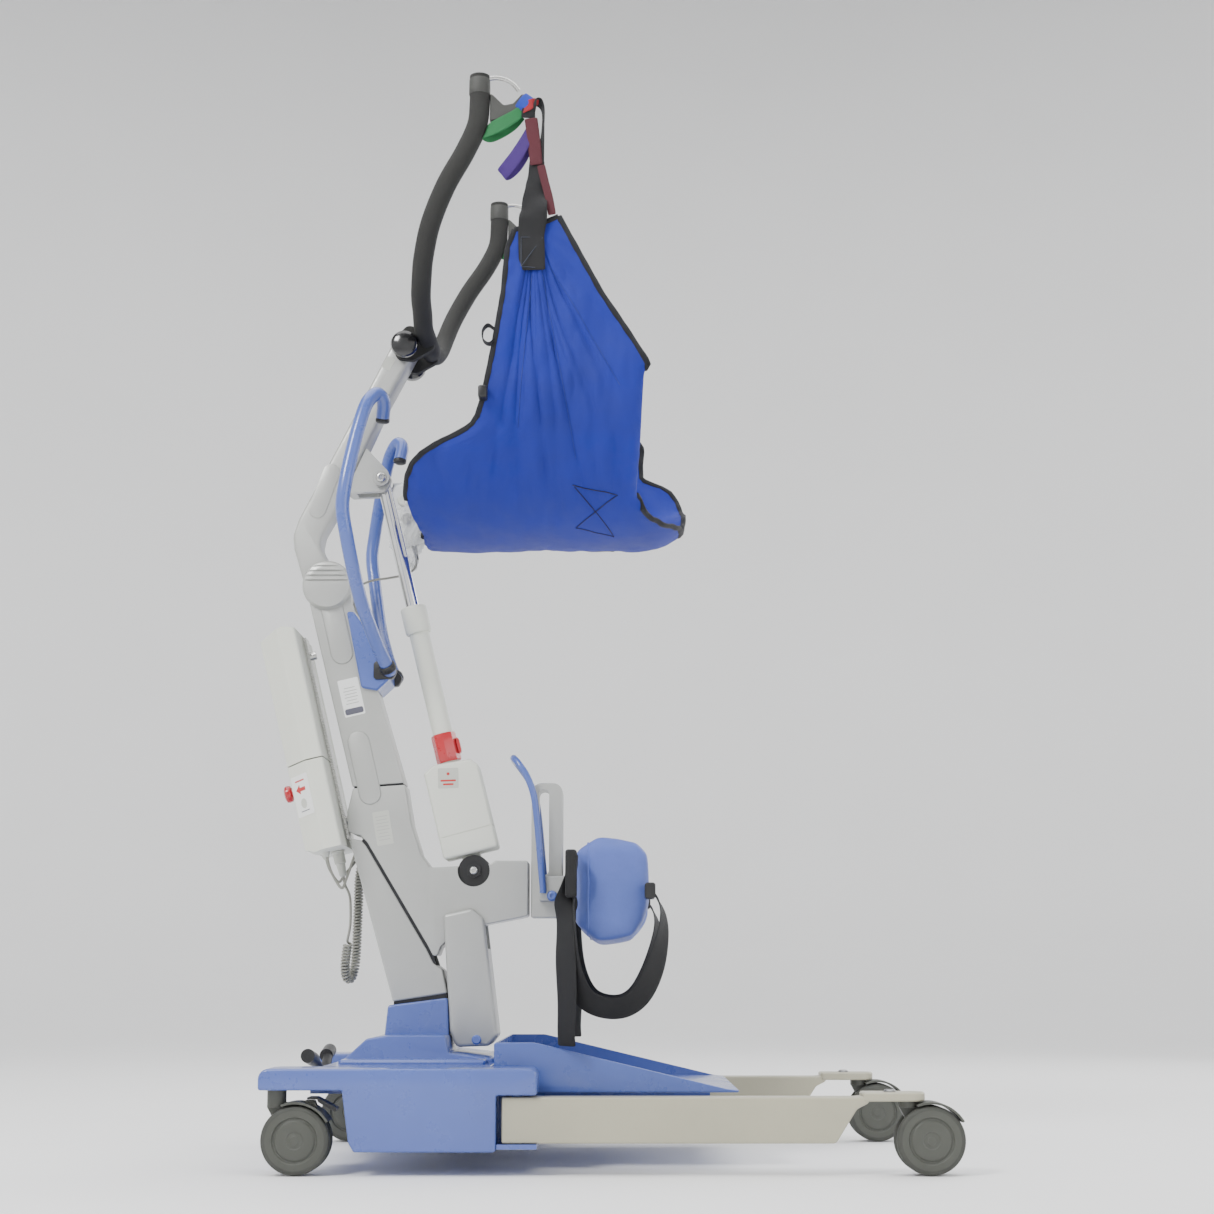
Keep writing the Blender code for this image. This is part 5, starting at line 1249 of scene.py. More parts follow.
# ------------------------------------------------------------- cloth pieces
def shell(name, grid, flat_uv, thick, closed=False):
    """A sheet through a grid of machine points (mm), given thickness both ways.
    flat_uv holds each point's place in the flat cloth, in metres."""
    rows, cols = len(grid), len(grid[0])
    pts = [[Vector(p) for p in row] for row in grid]
    nrm = []
    for i in range(rows):
        line = []
        for j in range(cols):
            if closed:
                a = pts[(i + 1) % rows][j] - pts[(i - 1) % rows][j]
            else:
                a = pts[min(i + 1, rows - 1)][j] - pts[max(i - 1, 0)][j]
            b = pts[i][min(j + 1, cols - 1)] - pts[i][max(j - 1, 0)]
            n = a.cross(b)
            line.append(n.normalized() if n.length > 1e-9 else Vector((0, 0, 1)))
        nrm.append(line)
    bm = bmesh.new()
    lay = bm.verts.layers.float_vector.new("cloth")
    sides = []
    for s in (0.5, -0.5):
        g = []
        for i in range(rows):
            r = []
            for j in range(cols):
                v = bm.verts.new(P(*(pts[i][j] + nrm[i][j] * (thick * s))))
                v[lay] = Vector((flat_uv[i][j][0], flat_uv[i][j][1], 0))
                r.append(v)
            g.append(r)
        sides.append(g)
    top, bot = sides
    last = rows if closed else rows - 1
    for i in range(last):
        k = (i + 1) % rows
        for j in range(cols - 1):
            bm.faces.new((top[i][j], top[k][j], top[k][j + 1], top[i][j + 1]))
            bm.faces.new((bot[i][j], bot[i][j + 1], bot[k][j + 1], bot[k][j]))
        bm.faces.new((top[i][0], bot[i][0], bot[k][0], top[k][0]))
        bm.faces.new((top[i][-1], top[k][-1], bot[k][-1], bot[i][-1]))
    if not closed:
        for j in range(cols - 1):
            bm.faces.new((top[0][j], top[0][j + 1], bot[0][j + 1], bot[0][j]))
            bm.faces.new((top[-1][j], bot[-1][j], bot[-1][j + 1], top[-1][j + 1]))
    bmesh.ops.recalc_face_normals(bm, faces=bm.faces)
    mesh = bpy.data.meshes.new(name)
    bm.to_mesh(mesh)
    bm.free()
    return add(mesh, name)


def sweep(name, points, a, b, side=Vector((0, 1, 0)), n=10, sides=None):
    """An oval tube along points: half-width a across, half-thickness b."""
    pts = [Vector(p) for p in points]
    bm = bmesh.new()
    lay = bm.verts.layers.float_vector.new("cloth")
    rings, run = [], 0.0
    for i, p in enumerate(pts):
        d = (pts[min(i + 1, len(pts) - 1)] - pts[max(i - 1, 0)]).normalized()
        s0 = Vector(sides[i]) if sides else side
        w = (s0 - d * s0.dot(d))
        w = w.normalized() if w.length > 1e-6 else d.orthogonal().normalized()
        t = d.cross(w)
        if i:
            run += (p - pts[i - 1]).length
        ring = []
        for k in range(n):
            ang = 2 * math.pi * k / n
            v = bm.verts.new(P(*(p + w * (a * math.cos(ang)) + t * (b * math.sin(ang)))))
            v[lay] = Vector((a * ang / 1000.0, run / 1000.0, 0))
            ring.append(v)
        rings.append(ring)
    for r0, r1 in zip(rings, rings[1:]):
        for k in range(n):
            bm.faces.new((r0[k], r0[(k + 1) % n], r1[(k + 1) % n], r1[k]))
    bm.faces.new(rings[0][::-1])
    bm.faces.new(rings[-1])
    bmesh.ops.recalc_face_normals(bm, faces=bm.faces)
    mesh = bpy.data.meshes.new(name)
    bm.to_mesh(mesh)
    bm.free()
    return add(mesh, name)


def webband(name, node, keys, thick, material, per=6, closed=False, cols=5, crown=0.0):
    """Webbing through keys (point, width direction, width)."""
    pts = through([k[0] for k in keys] + ([keys[0][0]] if closed else []), per)
    dirs = through([Vector(k[1]).normalized() for k in keys] + ([Vector(keys[0][1]).normalized()] if closed else []), per)
    wid = through([(k[2], 0, 0) for k in keys] + ([(keys[0][2], 0, 0)] if closed else []), per)
    if closed:
        pts, dirs, wid = pts[:-1], dirs[:-1], wid[:-1]
    grid, uv, run = [], [], 0.0
    for i, p in enumerate(pts):
        if i:
            run += (p - pts[i - 1]).length
        d = (pts[min(i + 1, len(pts) - 1)] - pts[max(i - 1, 0)]).normalized()
        w = dirs[i] - d * dirs[i].dot(d)
        w.normalize()
        n = d.cross(w)
        row, ur = [], []
        for j in range(cols):
            f = j / (cols - 1) - 0.5
            row.append(p + w * (f * wid[i].x) + n * (crown * (1 - 4 * f * f)))
            ur.append((f * wid[i].x / 1000.0, run / 1000.0))
        grid.append(row)
        uv.append(ur)
    ob = shell(name, grid, uv, thick, closed)
    m = ob.modifiers.new("sub", "SUBSURF")
    m.levels = m.render_levels = 1
    bev_keep = ob.name
    ob = plain(ob)
    ob.name = bev_keep
    return extra(name, ob, node, material, 60)


def plain(ob):
    """The mesh that the modifiers give, with its attributes kept."""
    bpy.context.view_layer.update()
    deps = bpy.context.evaluated_depsgraph_get()
    mesh = bpy.data.meshes.new_from_object(ob.evaluated_get(deps))
    name = ob.name
    bpy.data.objects.remove(ob, do_unlink=True)
    return add(mesh, name)


def smooth01(x):
    x = min(1.0, max(0.0, x))
    return x * x * (3 - 2 * x)


def table(points, z):
    """Straight-line look-up in (z, x) pairs that fall in z."""
    if z >= points[0][0]:
        return points[0][1]
    for (z0, x0), (z1, x1) in zip(points, points[1:]):
        if z >= z1:
            f = (z0 - z) / (z0 - z1)
            return x0 + (x1 - x0) * f
    return points[-1][1]


# ------------------------------------------------------------------- sling
REAR_EDGE = [(1452, -152), (1412, -166), (1342, -172), (1292, -180), (1250, -187), (1215, -194), (1175, -203),
             (1150, -212), (1136, -222), (1124, -246), (1112, -274), (1098, -302), (1084, -317), (1066, -327),
             (1040, -333), (1020, -328), (1005, -318), (994, -306)]
FRONT_NEAR = [(1463, -87), (1400, -53), (1342, -22), (1297, 8), (1258, 33), (1228, 52), (1213, 47), (1160, 44),
              (1116, 42), (1066, 38), (1040, 36), (1020, 52), (1006, 80), (994, 108)]
FRONT_FAR = [(1463, -87), (1400, -53), (1342, -22), (1297, 8), (1258, 33), (1232, 49), (1200, 46), (1172, 47),
             (1164, 62), (1157, 82), (1145, 98), (1126, 110), (1100, 117), (1071, 120), (1040, 119), (1010, 114),
             (994, 109)]


# angle from the strap patch, width, depth (mm) and reach (mm) of each sharp crease
CREASES = [(-0.16, 0.020, 4.0, 330), (-0.07, 0.016, 3.6, 380), (0.015, 0.018, 5.0, 420), (0.10, 0.020, 4.2, 350),
           (0.19, 0.022, 5.0, 330), (0.29, 0.020, 3.8, 260), (0.40, 0.026, 4.4, 220), (0.055, 0.010, 2.2, 240),
           (0.245, 0.012, 2.4, 200), (0.145, 0.011, 2.4, 260), (-0.03, 0.010, 2.2, 260)]


def sling_rows():
    """(y, z, normal outwards, arc length, side) down the near side and up the far one."""
    out = []
    top, arc = 1452.0, 0.0
    for i in range(34):
        z = top - (top - SLING_ARC_Z) * i / 34.0
        out.append((-SLING_Y, z, Vector((0, -1, 0)), -1))
    n = 120
    for i in range(n + 1):
        t = math.pi * i / n
        y, z = -SLING_Y * math.cos(t), SLING_ARC_Z - (SLING_ARC_Z - SLING_LOW_Z) * math.sin(t)
        nv = Vector((0, -math.cos(t) / SLING_Y, -math.sin(t) / (SLING_ARC_Z - SLING_LOW_Z))).normalized()
        out.append((y, z, nv, -1 if i <= n / 2 else 1))
    for i in range(33, -1, -1):
        z = top - (top - SLING_ARC_Z) * i / 34.0
        out.append((SLING_Y, z, Vector((0, 1, 0)), 1))
    return out


def sling_point(row, f, arc):
    y, z, nv, side = row
    slant = (f - 0.5) * 22.0 * smooth01((z - 1290) / 160.0) if z > 1290 else 0.0
    zz = z + slant
    xl = table(REAR_EDGE, zz)
    xr = table(FRONT_NEAR if side < 0 else FRONT_FAR, zz)
    if abs(y) < SLING_Y * 0.25:
        k = 0.5 + 0.5 * max(-1.0, min(1.0, y / (SLING_Y * 0.25)))
        xr = table(FRONT_NEAR, zz) * (1 - k) + table(FRONT_FAR, zz) * k
    x = xl + (xr - xl) * f
    p = Vector((x, y, zz))
    # creases that fan down from the strap patch, and soft bulges
    dx, dz = x + 128.0, 1450.0 - zz + 1e-3
    far = math.hypot(dx, dz)
    ang = math.atan2(dx, max(dz, 1.0))
    wob = noise.noise(Vector((x * 0.006, zz * 0.004, side * 3.1)))
    fan = math.sin(ang * 17 + 1.1 + 2.2 * wob + side)
    amp = 2.6 * smooth01(far / 150.0) * (1 - 0.6 * smooth01((far - 330) / 180.0))
    crease = 0.0
    for k, (ak, wk, dk, end) in enumerate(CREASES):
        q = (ang - ak - 0.05 * wob - 0.02 * math.sin(far * 0.011 + 2 * k)) / wk
        crease -= dk * math.exp(-q * q) * smooth01(far / 60.0) * (1 - smooth01((far - end) / 130.0))
    low = noise.noise(Vector((x * 0.011, arc * 0.0075, 1.7)))
    mid = noise.noise(Vector((x * 0.034, arc * 0.013, 5.2)))
    fine = noise.noise(Vector((x * 0.085, arc * 0.026, 9.4)))
    e = min(x - xl, xr - x)
    pin = smooth01(e / 26.0)
    calm = 1 - 0.6 * smooth01((1075 - zz) / 60.0)
    d = (fan * amp + crease + low * 8.0 + mid * 5.5 + fine * 2.6) * (0.2 + 0.8 * pin) * calm
    pucker = 1.1 * math.sin(arc / 5.2 + 3 * mid) * (1 - smooth01(e / 16.0))
    p += nv * (d + pucker)
    # rear edge leans in, the folded front edge rolls in on the near side
    roll = max(0.0, 1 - (xr - x) / 15.0)
    if side < 0 and zz < 1222 and z > 1030:
        p -= nv * (11.0 * roll * roll)
        p.x -= 2.0 * roll
    if zz < 1110:
        lift = smooth01((1110 - zz) / 70.0)
        over = max(0.0, (x - 36.0) / 74.0)
        p -= nv * (27.0 * over * over * lift)
        back = max(0.0, (-282.0 - x) / 50.0)
        p -= nv * (9.0 * back * back * lift)
    return p


def make_sling():
    rows = sling_rows()
    cols = 110
    arc, arcs, prev = 0.0, [], None
    for r in rows:
        q = Vector((0, r[0], r[1]))
        if prev is not None:
            arc += (q - prev).length
        prev = q
        arcs.append(arc)
    grid, uv = [], []
    for r, s in zip(rows, arcs):
        grid.append([sling_point(r, j / (cols - 1.0), s) for j in range(cols)])
        uv.append([(grid[-1][j].x / 1000.0, s / 1000.0) for j in range(cols)])
    ob = shell("sling_cloth", grid, uv, 4.6)
    m = ob.modifiers.new("sub", "SUBSURF")
    m.levels = m.render_levels = 1
    ob = plain(ob)
    ob.name = "sling_cloth"
    wear(ob, fabric, 180)
    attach(ob, "sling")
    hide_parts("sling")
    # flat area and size, from the unwrinkled cut
    area = 0.0
    for (r0, s0), (r1, s1) in zip(zip(rows, arcs), zip(rows[1:], arcs[1:])):
        w = []
        for r in (r0, r1):
            w.append(table(FRONT_NEAR if r[3] < 0 else FRONT_FAR, r[1]) - table(REAR_EDGE, r[1]))
        area += (w[0] + w[1]) / 2 * (s1 - s0)
    return ob, grid, rows, arcs, area / 1e6


sling, GRID, ROWS, ARCS, AREA = make_sling()


def edge_band(name, pts, w=5.2, t=3.6, inward=None):
    ob = sweep(name, pts, w, t, sides=inward, n=12)
    return extra(name, ob, "sling", binding, 60)


def grid_side(i, j, step):
    a, b = GRID[i][j], GRID[i][j + step]
    return b - a


last = len(ROWS) - 1
on_rear = [i for i in range(len(ROWS))]
rear_low = [i for i, r in enumerate(ROWS) if r[1] >= 1034]
near_rear = [i for i in rear_low if ROWS[i][3] < 0 and i < 90]
far_rear = [i for i in rear_low if ROWS[i][3] > 0]
edge_band("sling_binding_rear_right", [GRID[i][0] for i in near_rear], inward=[grid_side(i, 0, 1) for i in near_rear])
edge_band("sling_binding_rear_left", [GRID[i][0] for i in far_rear], inward=[grid_side(i, 0, 1) for i in far_rear])
near_front = [i for i in range(len(ROWS)) if ROWS[i][3] < 0 and ROWS[i][1] + 11 >= 1226 and i < 60]
rest_front = [i for i in range(len(ROWS)) if i >= 60 and not (ROWS[i][3] < 0 and ROWS[i][1] > 1040)]
edge_band("sling_binding_front_right", [GRID[i][-1] for i in near_front], inward=[grid_side(i, -1, -1) if False else GRID[i][-2] - GRID[i][-1] for i in near_front])
edge_band("sling_binding_front_left", [GRID[i][-1] for i in rest_front], inward=[GRID[i][-2] - GRID[i][-1] for i in rest_front])
for tag, i in (("right", 0), ("left", last)):
    edge_band("sling_binding_top_" + tag, [GRID[i][j] for j in range(0, 110, 2)] + [GRID[i][-1]],
              inward=[(GRID[1][j] - GRID[0][j]) if i == 0 else (GRID[last - 1][j] - GRID[last][j])
                      for j in list(range(0, 110, 2)) + [109]])

# crossed stitching low on each panel, laid on the cloth
from mathutils.bvhtree import BVHTree


def on_sling(px, z, side, out=0.6):
    """The point of the sling's outer face seen from the side at x, z."""
    o = P(px, side * 700, z)
    hit, n, _, _ = SLING_TREE.ray_cast(o, Vector((0, -side, 0)), 2.0)
    if hit is None:
        return None
    hit = hit + Vector((0, side * out / 1000.0, 0))
    return Vector((hit.x * 1000 - SHIFT_X, hit.y * 1000, hit.z * 1000))


bm = bmesh.new()
bm.from_mesh(sling.data)
SLING_TREE = BVHTree.FromBMesh(bm)
bm.free()


def stitch_line(name, pts, side, r=0.8, material=None):
    out = []
    for (xa, za), (xb, zb) in zip(pts, pts[1:]):
        n = max(3, int(math.hypot(xb - xa, zb - za) / 4))
        for k in range(n):
            q = on_sling(xa + (xb - xa) * k / n, za + (zb - za) * k / n, side)
            if q is not None:
                out.append(q)
    if len(out) > 3:
        ob = sweep(name, out, r, r * 0.7, n=6)
        extra(name, ob, "sling", material or binding, 60)


for tag, side in (("right", -1), ("left", 1)):
    stitch_line("sling_cross_" + tag, [(-66, 1056), (5, 1044), (-62, 1006), (-1, 998), (-66, 1056)], side, 1.1)
    for k, (a, b) in enumerate((((-128, 1370), (-150, 1130)), ((-112, 1370), (-60, 1090)), ((-104, 1390), (10, 1190)))):
        n = 26
        pts = [(a[0] + (b[0] - a[0]) * t / n, a[1] + (b[1] - a[1]) * t / n) for t in range(n + 1)]
        stitch_line("sling_seam_%s_%d" % (tag, k), pts, side, 0.55, threadblue)


# straps and loops at the top of each panel
def over(x, z, side, out):
    q = on_sling(x, z, side, out)
    return q if q is not None else Vector((x, side * (SLING_Y + 4 + out), z))


for tag, s in (("right", -1), ("left", 1)):
    X1 = (1, 0, 0)
    y0 = s * (SLING_Y + 6.5)
    keys = []
    for x, z, w in ((-128, 1376, 42), (-128.5, 1395, 42), (-129, 1414, 42), (-129.5, 1434, 42)):
        q = over(x, z, s, 2.4)
        keys.append((q, X1, w))
    keys += [(Vector((-127, y0 + s * 1.5, 1456)), X1, 45), (Vector((-125, y0 + s * 1, 1476)), (1, s * 0.35, 0), 44),
             (Vector((-124, s * 263, 1504)), (1, -s * 0.35, 0), 34), (Vector((-123, s * 262, 1530)), (1, s * 0.3, 0), 27),
             (Vector((-121, s * 262, 1556)), (1, -s * 0.1, 0), 24)]
    webband("strap_black_" + tag, "sling", keys, 2.6, webbing, crown=1.4 * s)
    # patch outline stitching
    pts = [over(x, z, s, 4.4) for x, z in ((-145, 1380), (-145, 1428), (-112, 1428), (-112, 1380), (-145, 1380),
                                           (-112, 1428), (-112, 1380), (-145, 1428))]
    ob = sweep("stitch", [p for a, b in zip(pts, pts[1:]) for p in (a, a * 0.66 + b * 0.34, a * 0.33 + b * 0.67)], 0.6, 0.5, n=6)
    extra("strap_stitch_" + tag, ob, "sling", thread, 60)
    # second tape behind, running down to the top edge
    webband("strap_maroon_low_" + tag, "sling", [
        ((-97, s * 268, 1464), (0.93, 0, 0.35), 13), ((-102, s * 267, 1492), (0.95, 0, 0.3), 13),
        ((-109, s * 266, 1520), (0.96, 0, 0.25), 13), ((-115, s * 266.5, 1546), (0.98, 0, 0.2), 13)], 1.8, web_maroon)
    webband("strap_maroon_" + tag, "sling", [
        ((-122, s * 266, 1546), X1, 20), ((-125, s * 267, 1575), (1, 0, 0.1), 21), ((-128, s * 268, 1600), (1, 0, 0.12), 21),
        ((-131, s * 268, 1622), (1, 0, 0.15), 21)], 2.4, web_maroon, crown=1.0 * s)
    # the dark carrier loop that comes off the hook
    webband("strap_carrier_" + tag, "sling", [
        ((-135, s * 268, 1622), (0.94, 0, 0.34), 22), ((-134, s * 270, 1636), (0.94, 0, 0.34), 22),
        ((-127, s * 267, 1648), (0.8, s * 0.3, 0.5), 22), ((-118, s * 262, 1650), (0.5, s * 0.85, 0.2), 20),
        ((-112, s * 261, 1638), (0.25, s * 0.95, 0), 18), ((-112, s * 262, 1612), (0.25, s * 0.95, 0), 16),
        ((-114, s * 262, 1580), (0.5, s * 0.8, 0), 16), ((-118, s * 262.5, 1550), (0.9, s * 0.4, 0), 18)], 2.2, webbing)
    webband("strap_red_" + tag, "sling", [
        ((-146, s * 268, 1636), (0.35, 0, 0.93), 17), ((-137, s * 271, 1641), (0.3, 0, 0.95), 19),
        ((-127, s * 271, 1646), (0.3, 0, 0.95), 14), ((-119, s * 266, 1650), (0.2, s * 0.6, 0.7), 10)], 2.0, web_red)
    # blue loop round the hook's tip
    h = Vector((-141.5, s * 262, 1647.5))
    ax = Vector((0.80, 0, -0.60))
    up = Vector((0.60, 0, 0.80))
    ring = []
    for k in range(10):
        t = 2 * math.pi * k / 10
        ring.append((h + Vector((0, math.cos(t) * 9.6, 0)) + up * (math.sin(t) * 15.5), ax, 17))
    webband("loop_blue_" + tag, "sling", ring, 1.8, web_blue, per=3, closed=True)
    webband("loop_green_" + tag, "sling", [
        ((-146, s * 268, 1634), (0.15, 0, 1), 16), ((-160, s * 270, 1622), (0.25, 0, 1), 20),
        ((-178, s * 271, 1611), (0.3, 0, 1), 22), ((-194, s * 269, 1603), (0.35, 0, 1), 23),
        ((-203, s * 262, 1600), (0.4, 0, 1), 22), ((-195, s * 255.5, 1599), (0.4, 0, 1), 22),
        ((-178, s * 253.5, 1607), (0.3, 0, 1), 22), ((-160, s * 254, 1618), (0.25, 0, 1), 20),
        ((-146, s * 256, 1631), (0.15, 0, 1), 16)], 1.8, web_green)
    webband("loop_purple_" + tag, "sling", [
        ((-130, s * 266, 1606), (1, 0, -0.3), 16), ((-140, s * 268, 1584), (0.9, 0, -0.5), 19),
        ((-154, s * 270, 1559), (0.85, 0, -0.5), 21), ((-168, s * 269, 1540), (0.7, 0, -0.7), 22),
        ((-176, s * 262, 1532), (0.6, 0, -0.75), 22), ((-167, s * 255, 1537), (0.7, 0, -0.7), 22),
        ((-152, s * 254, 1553), (0.85, 0, -0.5), 21), ((-139, s * 256, 1576), (0.9, 0, -0.5), 19),
        ((-130, s * 259, 1600), (1, 0, -0.3), 16)], 1.8, web_purple)
    # loop and buckle on the rear edge
    webband("side_ring_" + tag, "sling", [
        ((-186, s * 262, 1282), (0, 1, 0), 19), ((-196, s * 262, 1288), (0, 1, 0), 19), ((-204, s * 262, 1279), (0, 1, 0), 19),
        ((-203, s * 262, 1264), (0, 1, 0), 19), ((-194, s * 262, 1258), (0, 1, 0), 19), ((-186, s * 262, 1264), (0, 1, 0), 19)],
        2.0, webbing, closed=False)
    b = block("buckle", -210, -196, s * 262 - 13, s * 262 + 13, 1170, 1190, 3.5, 3)
    extra("side_buckle_" + tag, b, "sling", black)


# --------------------------------------------------------------- knee pad
def knee_pad_piece():
    outline = rounded([(-57, 479, 10), (-23, 501, 14), (36, 490, 14), (51, 472, 12), (52.5, 402, 12), (46, 371, 10),
                       (31, 346, 14), (-23, 336, 14), (-57, 362, 10)], steps=6)
    ob = slab("pad", outline, -PAD_HALF_Y + 3, PAD_HALF_Y - 3, bevel=12, segments=4, angle=50)
    for s in (-1, 1):
        ob = cut(ob, rod("dish", (110, s * 104, 290), (110, s * 104, 550), 89, 72))
    m = ob.modifiers.new("remesh", "REMESH")
    m.mode = "VOXEL"
    m.voxel_size = 0.0055
    ob = baked(ob)
    m = ob.modifiers.new("s", "SMOOTH")
    m.factor = 0.5
    m.iterations = 3
    ob = baked(ob)
    rest = [v.co.copy() for v in ob.data.vertices]
    c = ob.modifiers.new("cloth", "CLOTH")
    st = c.settings
    st.quality = 5
    st.mass = 0.3
    st.use_pressure = True
    st.uniform_pressure_force = 4.0
    st.tension_stiffness = 18
    st.compression_stiffness = 18
    st.bending_stiffness = 1.2
    st.effector_weights.gravity = 0.0
    c.collision_settings.use_collision = False
    c.collision_settings.use_self_collision = False
    c.point_cache.frame_start = 1
    c.point_cache.frame_end = 20
    sc = bpy.context.scene
    for f in range(1, 21):
        sc.frame_set(f)
        bpy.context.view_layer.update()
    deps = bpy.context.evaluated_depsgraph_get()
    ev = ob.evaluated_get(deps)
    moved = [v.co.copy() for v in ev.data.vertices]
    ob.modifiers.remove(c)
    sc.frame_set(1)
    for v, a, b in zip(ob.data.vertices, rest, moved):
        d = b - a
        if d.length > 0.005:
            d *= 0.005 / d.length
        v.co = a + d
    # the pad's back stays flat on its board
    lim = P(-58.5, 0, 0).x
    front = P(53.5, 0, 0).x
    for v in ob.data.vertices:
        v.co.x = min(max(v.co.x, lim), front)
        v.co.y = min(max(v.co.y, -0.209), 0.209)
        w = noise.noise(v.co * 22.0) * 0.0011 + noise.noise(v.co * 60.0) * 0.0004
        v.co += Vector((0, 0, w))
    m = ob.modifiers.new("sub", "SUBSURF")
    m.levels = m.render_levels = 1
    m = ob.modifiers.new("s", "SMOOTH")
    m.factor = 0.5
    m.iterations = 3
    ob = baked(ob)
    return ob


pad = knee_pad_piece()
finish("knee_pad", pad, vinyl, 180)

bm = bmesh.new()
bm.from_mesh(pad.data)
PAD_TREE = BVHTree.FromBMesh(bm)
bm.free()


def round_pad(x, out=0.4, n=220):
    """A closed loop round the pad's skin at one depth."""
    pts = []
    for k in range(n):
        t = 2 * math.pi * k / n
        c, s = math.cos(t), math.sin(t)
        # start on a wide oval so that the rays meet the skin squarely
        o = P(x, c * 150, 418 + s * 10)
        d = Vector((0, c * 0.6 if abs(s) < 0.2 else c * 0.9, s)).normalized()
        hit, nn, _, _ = PAD_TREE.ray_cast(o, d, 1.0)
        if hit is None:
            continue
        hit = hit + nn * (out / 1000.0)
        pts.append(Vector((hit.x * 1000 - SHIFT_X, hit.y * 1000, hit.z * 1000)))
    return pts


for k, x in enumerate((-40.0,)):
    loop = round_pad(x)
    if len(loop) > 40:
        sm = loop
        for _ in range(4):
            sm = [(sm[i - 1] + sm[i] * 2 + sm[(i + 1) % len(sm)]) / 4 for i in range(len(sm))]
        ob = sweep("piping", sm + [sm[0]], 1.7, 1.7, side=Vector((1, 0, 0)), n=10)
        extra("knee_pad_piping_%d" % k, ob, "knee_pad", vinyl, 60)
board = slab("board", rounded([(-66, 466, 6), (-58, 470, 3), (-58, 372, 3), (-66, 376, 6)], steps=4), -120, 120, bevel=2,
             segments=2)
extra("knee_pad_board", board, "knee_pad", black)

# knee straps: a hanging loop and a long tail each side
for tag, s in (("right", -1), ("left", 1)):
    Y1 = (0, 1, 0)
    yc = s * 233
    node = "knee_strap_" + tag
    route = [(-56, 468), (-60, 430), (-64, 380), (-65, 325), (-60, 285), (-44, 254), (-18, 240), (14, 240),
             (40, 258), (60, 296), (72, 342), (74, 376), (66, 402), (53, 418)]
    keys = []
    for i, (x, z) in enumerate(route):
        p0, p1 = Vector(route[max(i - 1, 0)]), Vector(route[min(i + 1, len(route) - 1)])
        d = (p1 - p0).normalized()
        k = min(1.0, max(0.0, min(i - 1, 12 - i) / 3.5)) * 0.85
        keys.append((Vector((x, yc + s * 1.5 * math.sin(z * 0.05), z)), (d.y * k, (1 - 0.62 * k), -d.x * k), 38))
    strap = webband(node + "_v", node, keys, 2.2, webbing, crown=0.9)
    strap.name = "v_" + node
    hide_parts(node)
    tail = [((-59, yc - s * 1, 462), (0.25, 1, 0), 38), ((-70, yc, 420), (0.7, 1, 0), 38), ((-74, yc, 370), (1, 0.9 * s, 0), 37),
            ((-73, yc + s * 2, 310), (1, 0.6 * s, 0), 37), ((-71, yc + s * 3, 250), (1, 0.75 * s, 0), 37),
            ((-72, yc + s * 2, 205), (1, 0.9 * s, 0), 37), ((-71, yc, 182), (1, 0.9 * s, 0), 37)]
    webband("knee_tail_" + tag, node, tail, 2.2, webbing, crown=1.2)
    fold = [((-57, yc, 474), (0, 1, 0), 40), ((-30, yc - s * 20 + s * 2, 478), (0.2, 1, 0.1), 38)]
    bk = slab("buckle", rounded([(46, 426, 4), (46, 402, 4), (62, 402, 4), (62, 426, 4)], steps=4),
              yc - 23, yc + 23, bevel=2, segments=3)
    hole = block("hole", 51, 57, yc - 16, yc + 16, 395, 435)
    bk = cut(bk, hole)
    extra("knee_buckle_" + tag, bk, node, black)
    bar = rod("bar", (54, yc - 18, 414), (54, yc + 18, 414), 2.6, 24)
    extra("knee_buckle_bar_" + tag, bar, node, black)
    pt = block("patch", -74, -56.5, yc - 21, yc + 19, 404, 476, 4.5, 4)
    extra("knee_patch_" + tag, pt, node, webbing)


# --------------------------------------------------------- handset's cord
CORD_R = 2.1
COIL_R = 5.9
COIL_PITCH = 5.2


def cord_route():
    down_part = through(LOWER_CORD, 8)
    up_part = through(UPPER_CORD, 8)
    spine = through([LOWER_CORD[-1]] + COIL[1:], 24)
    spine += through([COIL[-1]] + [UPPER_CORD[1]], 6)[1:-1]
    # even steps along the spine
    total, cum = 0.0, [0.0]
    for a, b in zip(spine, spine[1:]):
        total += (b - a).length
        cum.append(total)
    coil_len = total
    turns = coil_len / COIL_PITCH
    n = int(turns * 14)
    out = []
    k = 0
    ref = Vector((1, 0, 0))
    for i in range(1, n):
        d = coil_len * i / n
        while cum[k + 1] < d:
            k += 1
        f = (d - cum[k]) / (cum[k + 1] - cum[k])
        p = spine[k].lerp(spine[k + 1], f)
        t = (spine[min(k + 2, len(spine) - 1)] - spine[max(k - 1, 0)]).normalized()
        ref = (ref - t * ref.dot(t)).normalized()
        side = t.cross(ref)
        a = 2 * math.pi * turns * i / n
        out.append(p + (ref * math.cos(a) + side * math.sin(a)) * COIL_R)
    j = min(range(len(up_part)), key=lambda m: (up_part[m] - Vector(UPPER_CORD[1])).length)
    return bridge(bridge(down_part[:-4], out[3:]), up_part[j + 3:])


def bridge(a, b):
    """One line out of two, with an even and gently curved join."""
    gap = b[0] - a[-1]
    n = max(1, int(gap.length / 2.4))
    fill = [a[-1] + gap * (k / n) for k in range(1, n)]
    line = a + fill + b
    lo, hi = max(1, len(a) - 7), min(len(line) - 2, len(a) + len(fill) + 7)
    for _ in range(40):
        for k in range(lo, hi):
            line[k] = (line[k - 1] + line[k] * 2 + line[k + 1]) / 4
    return line


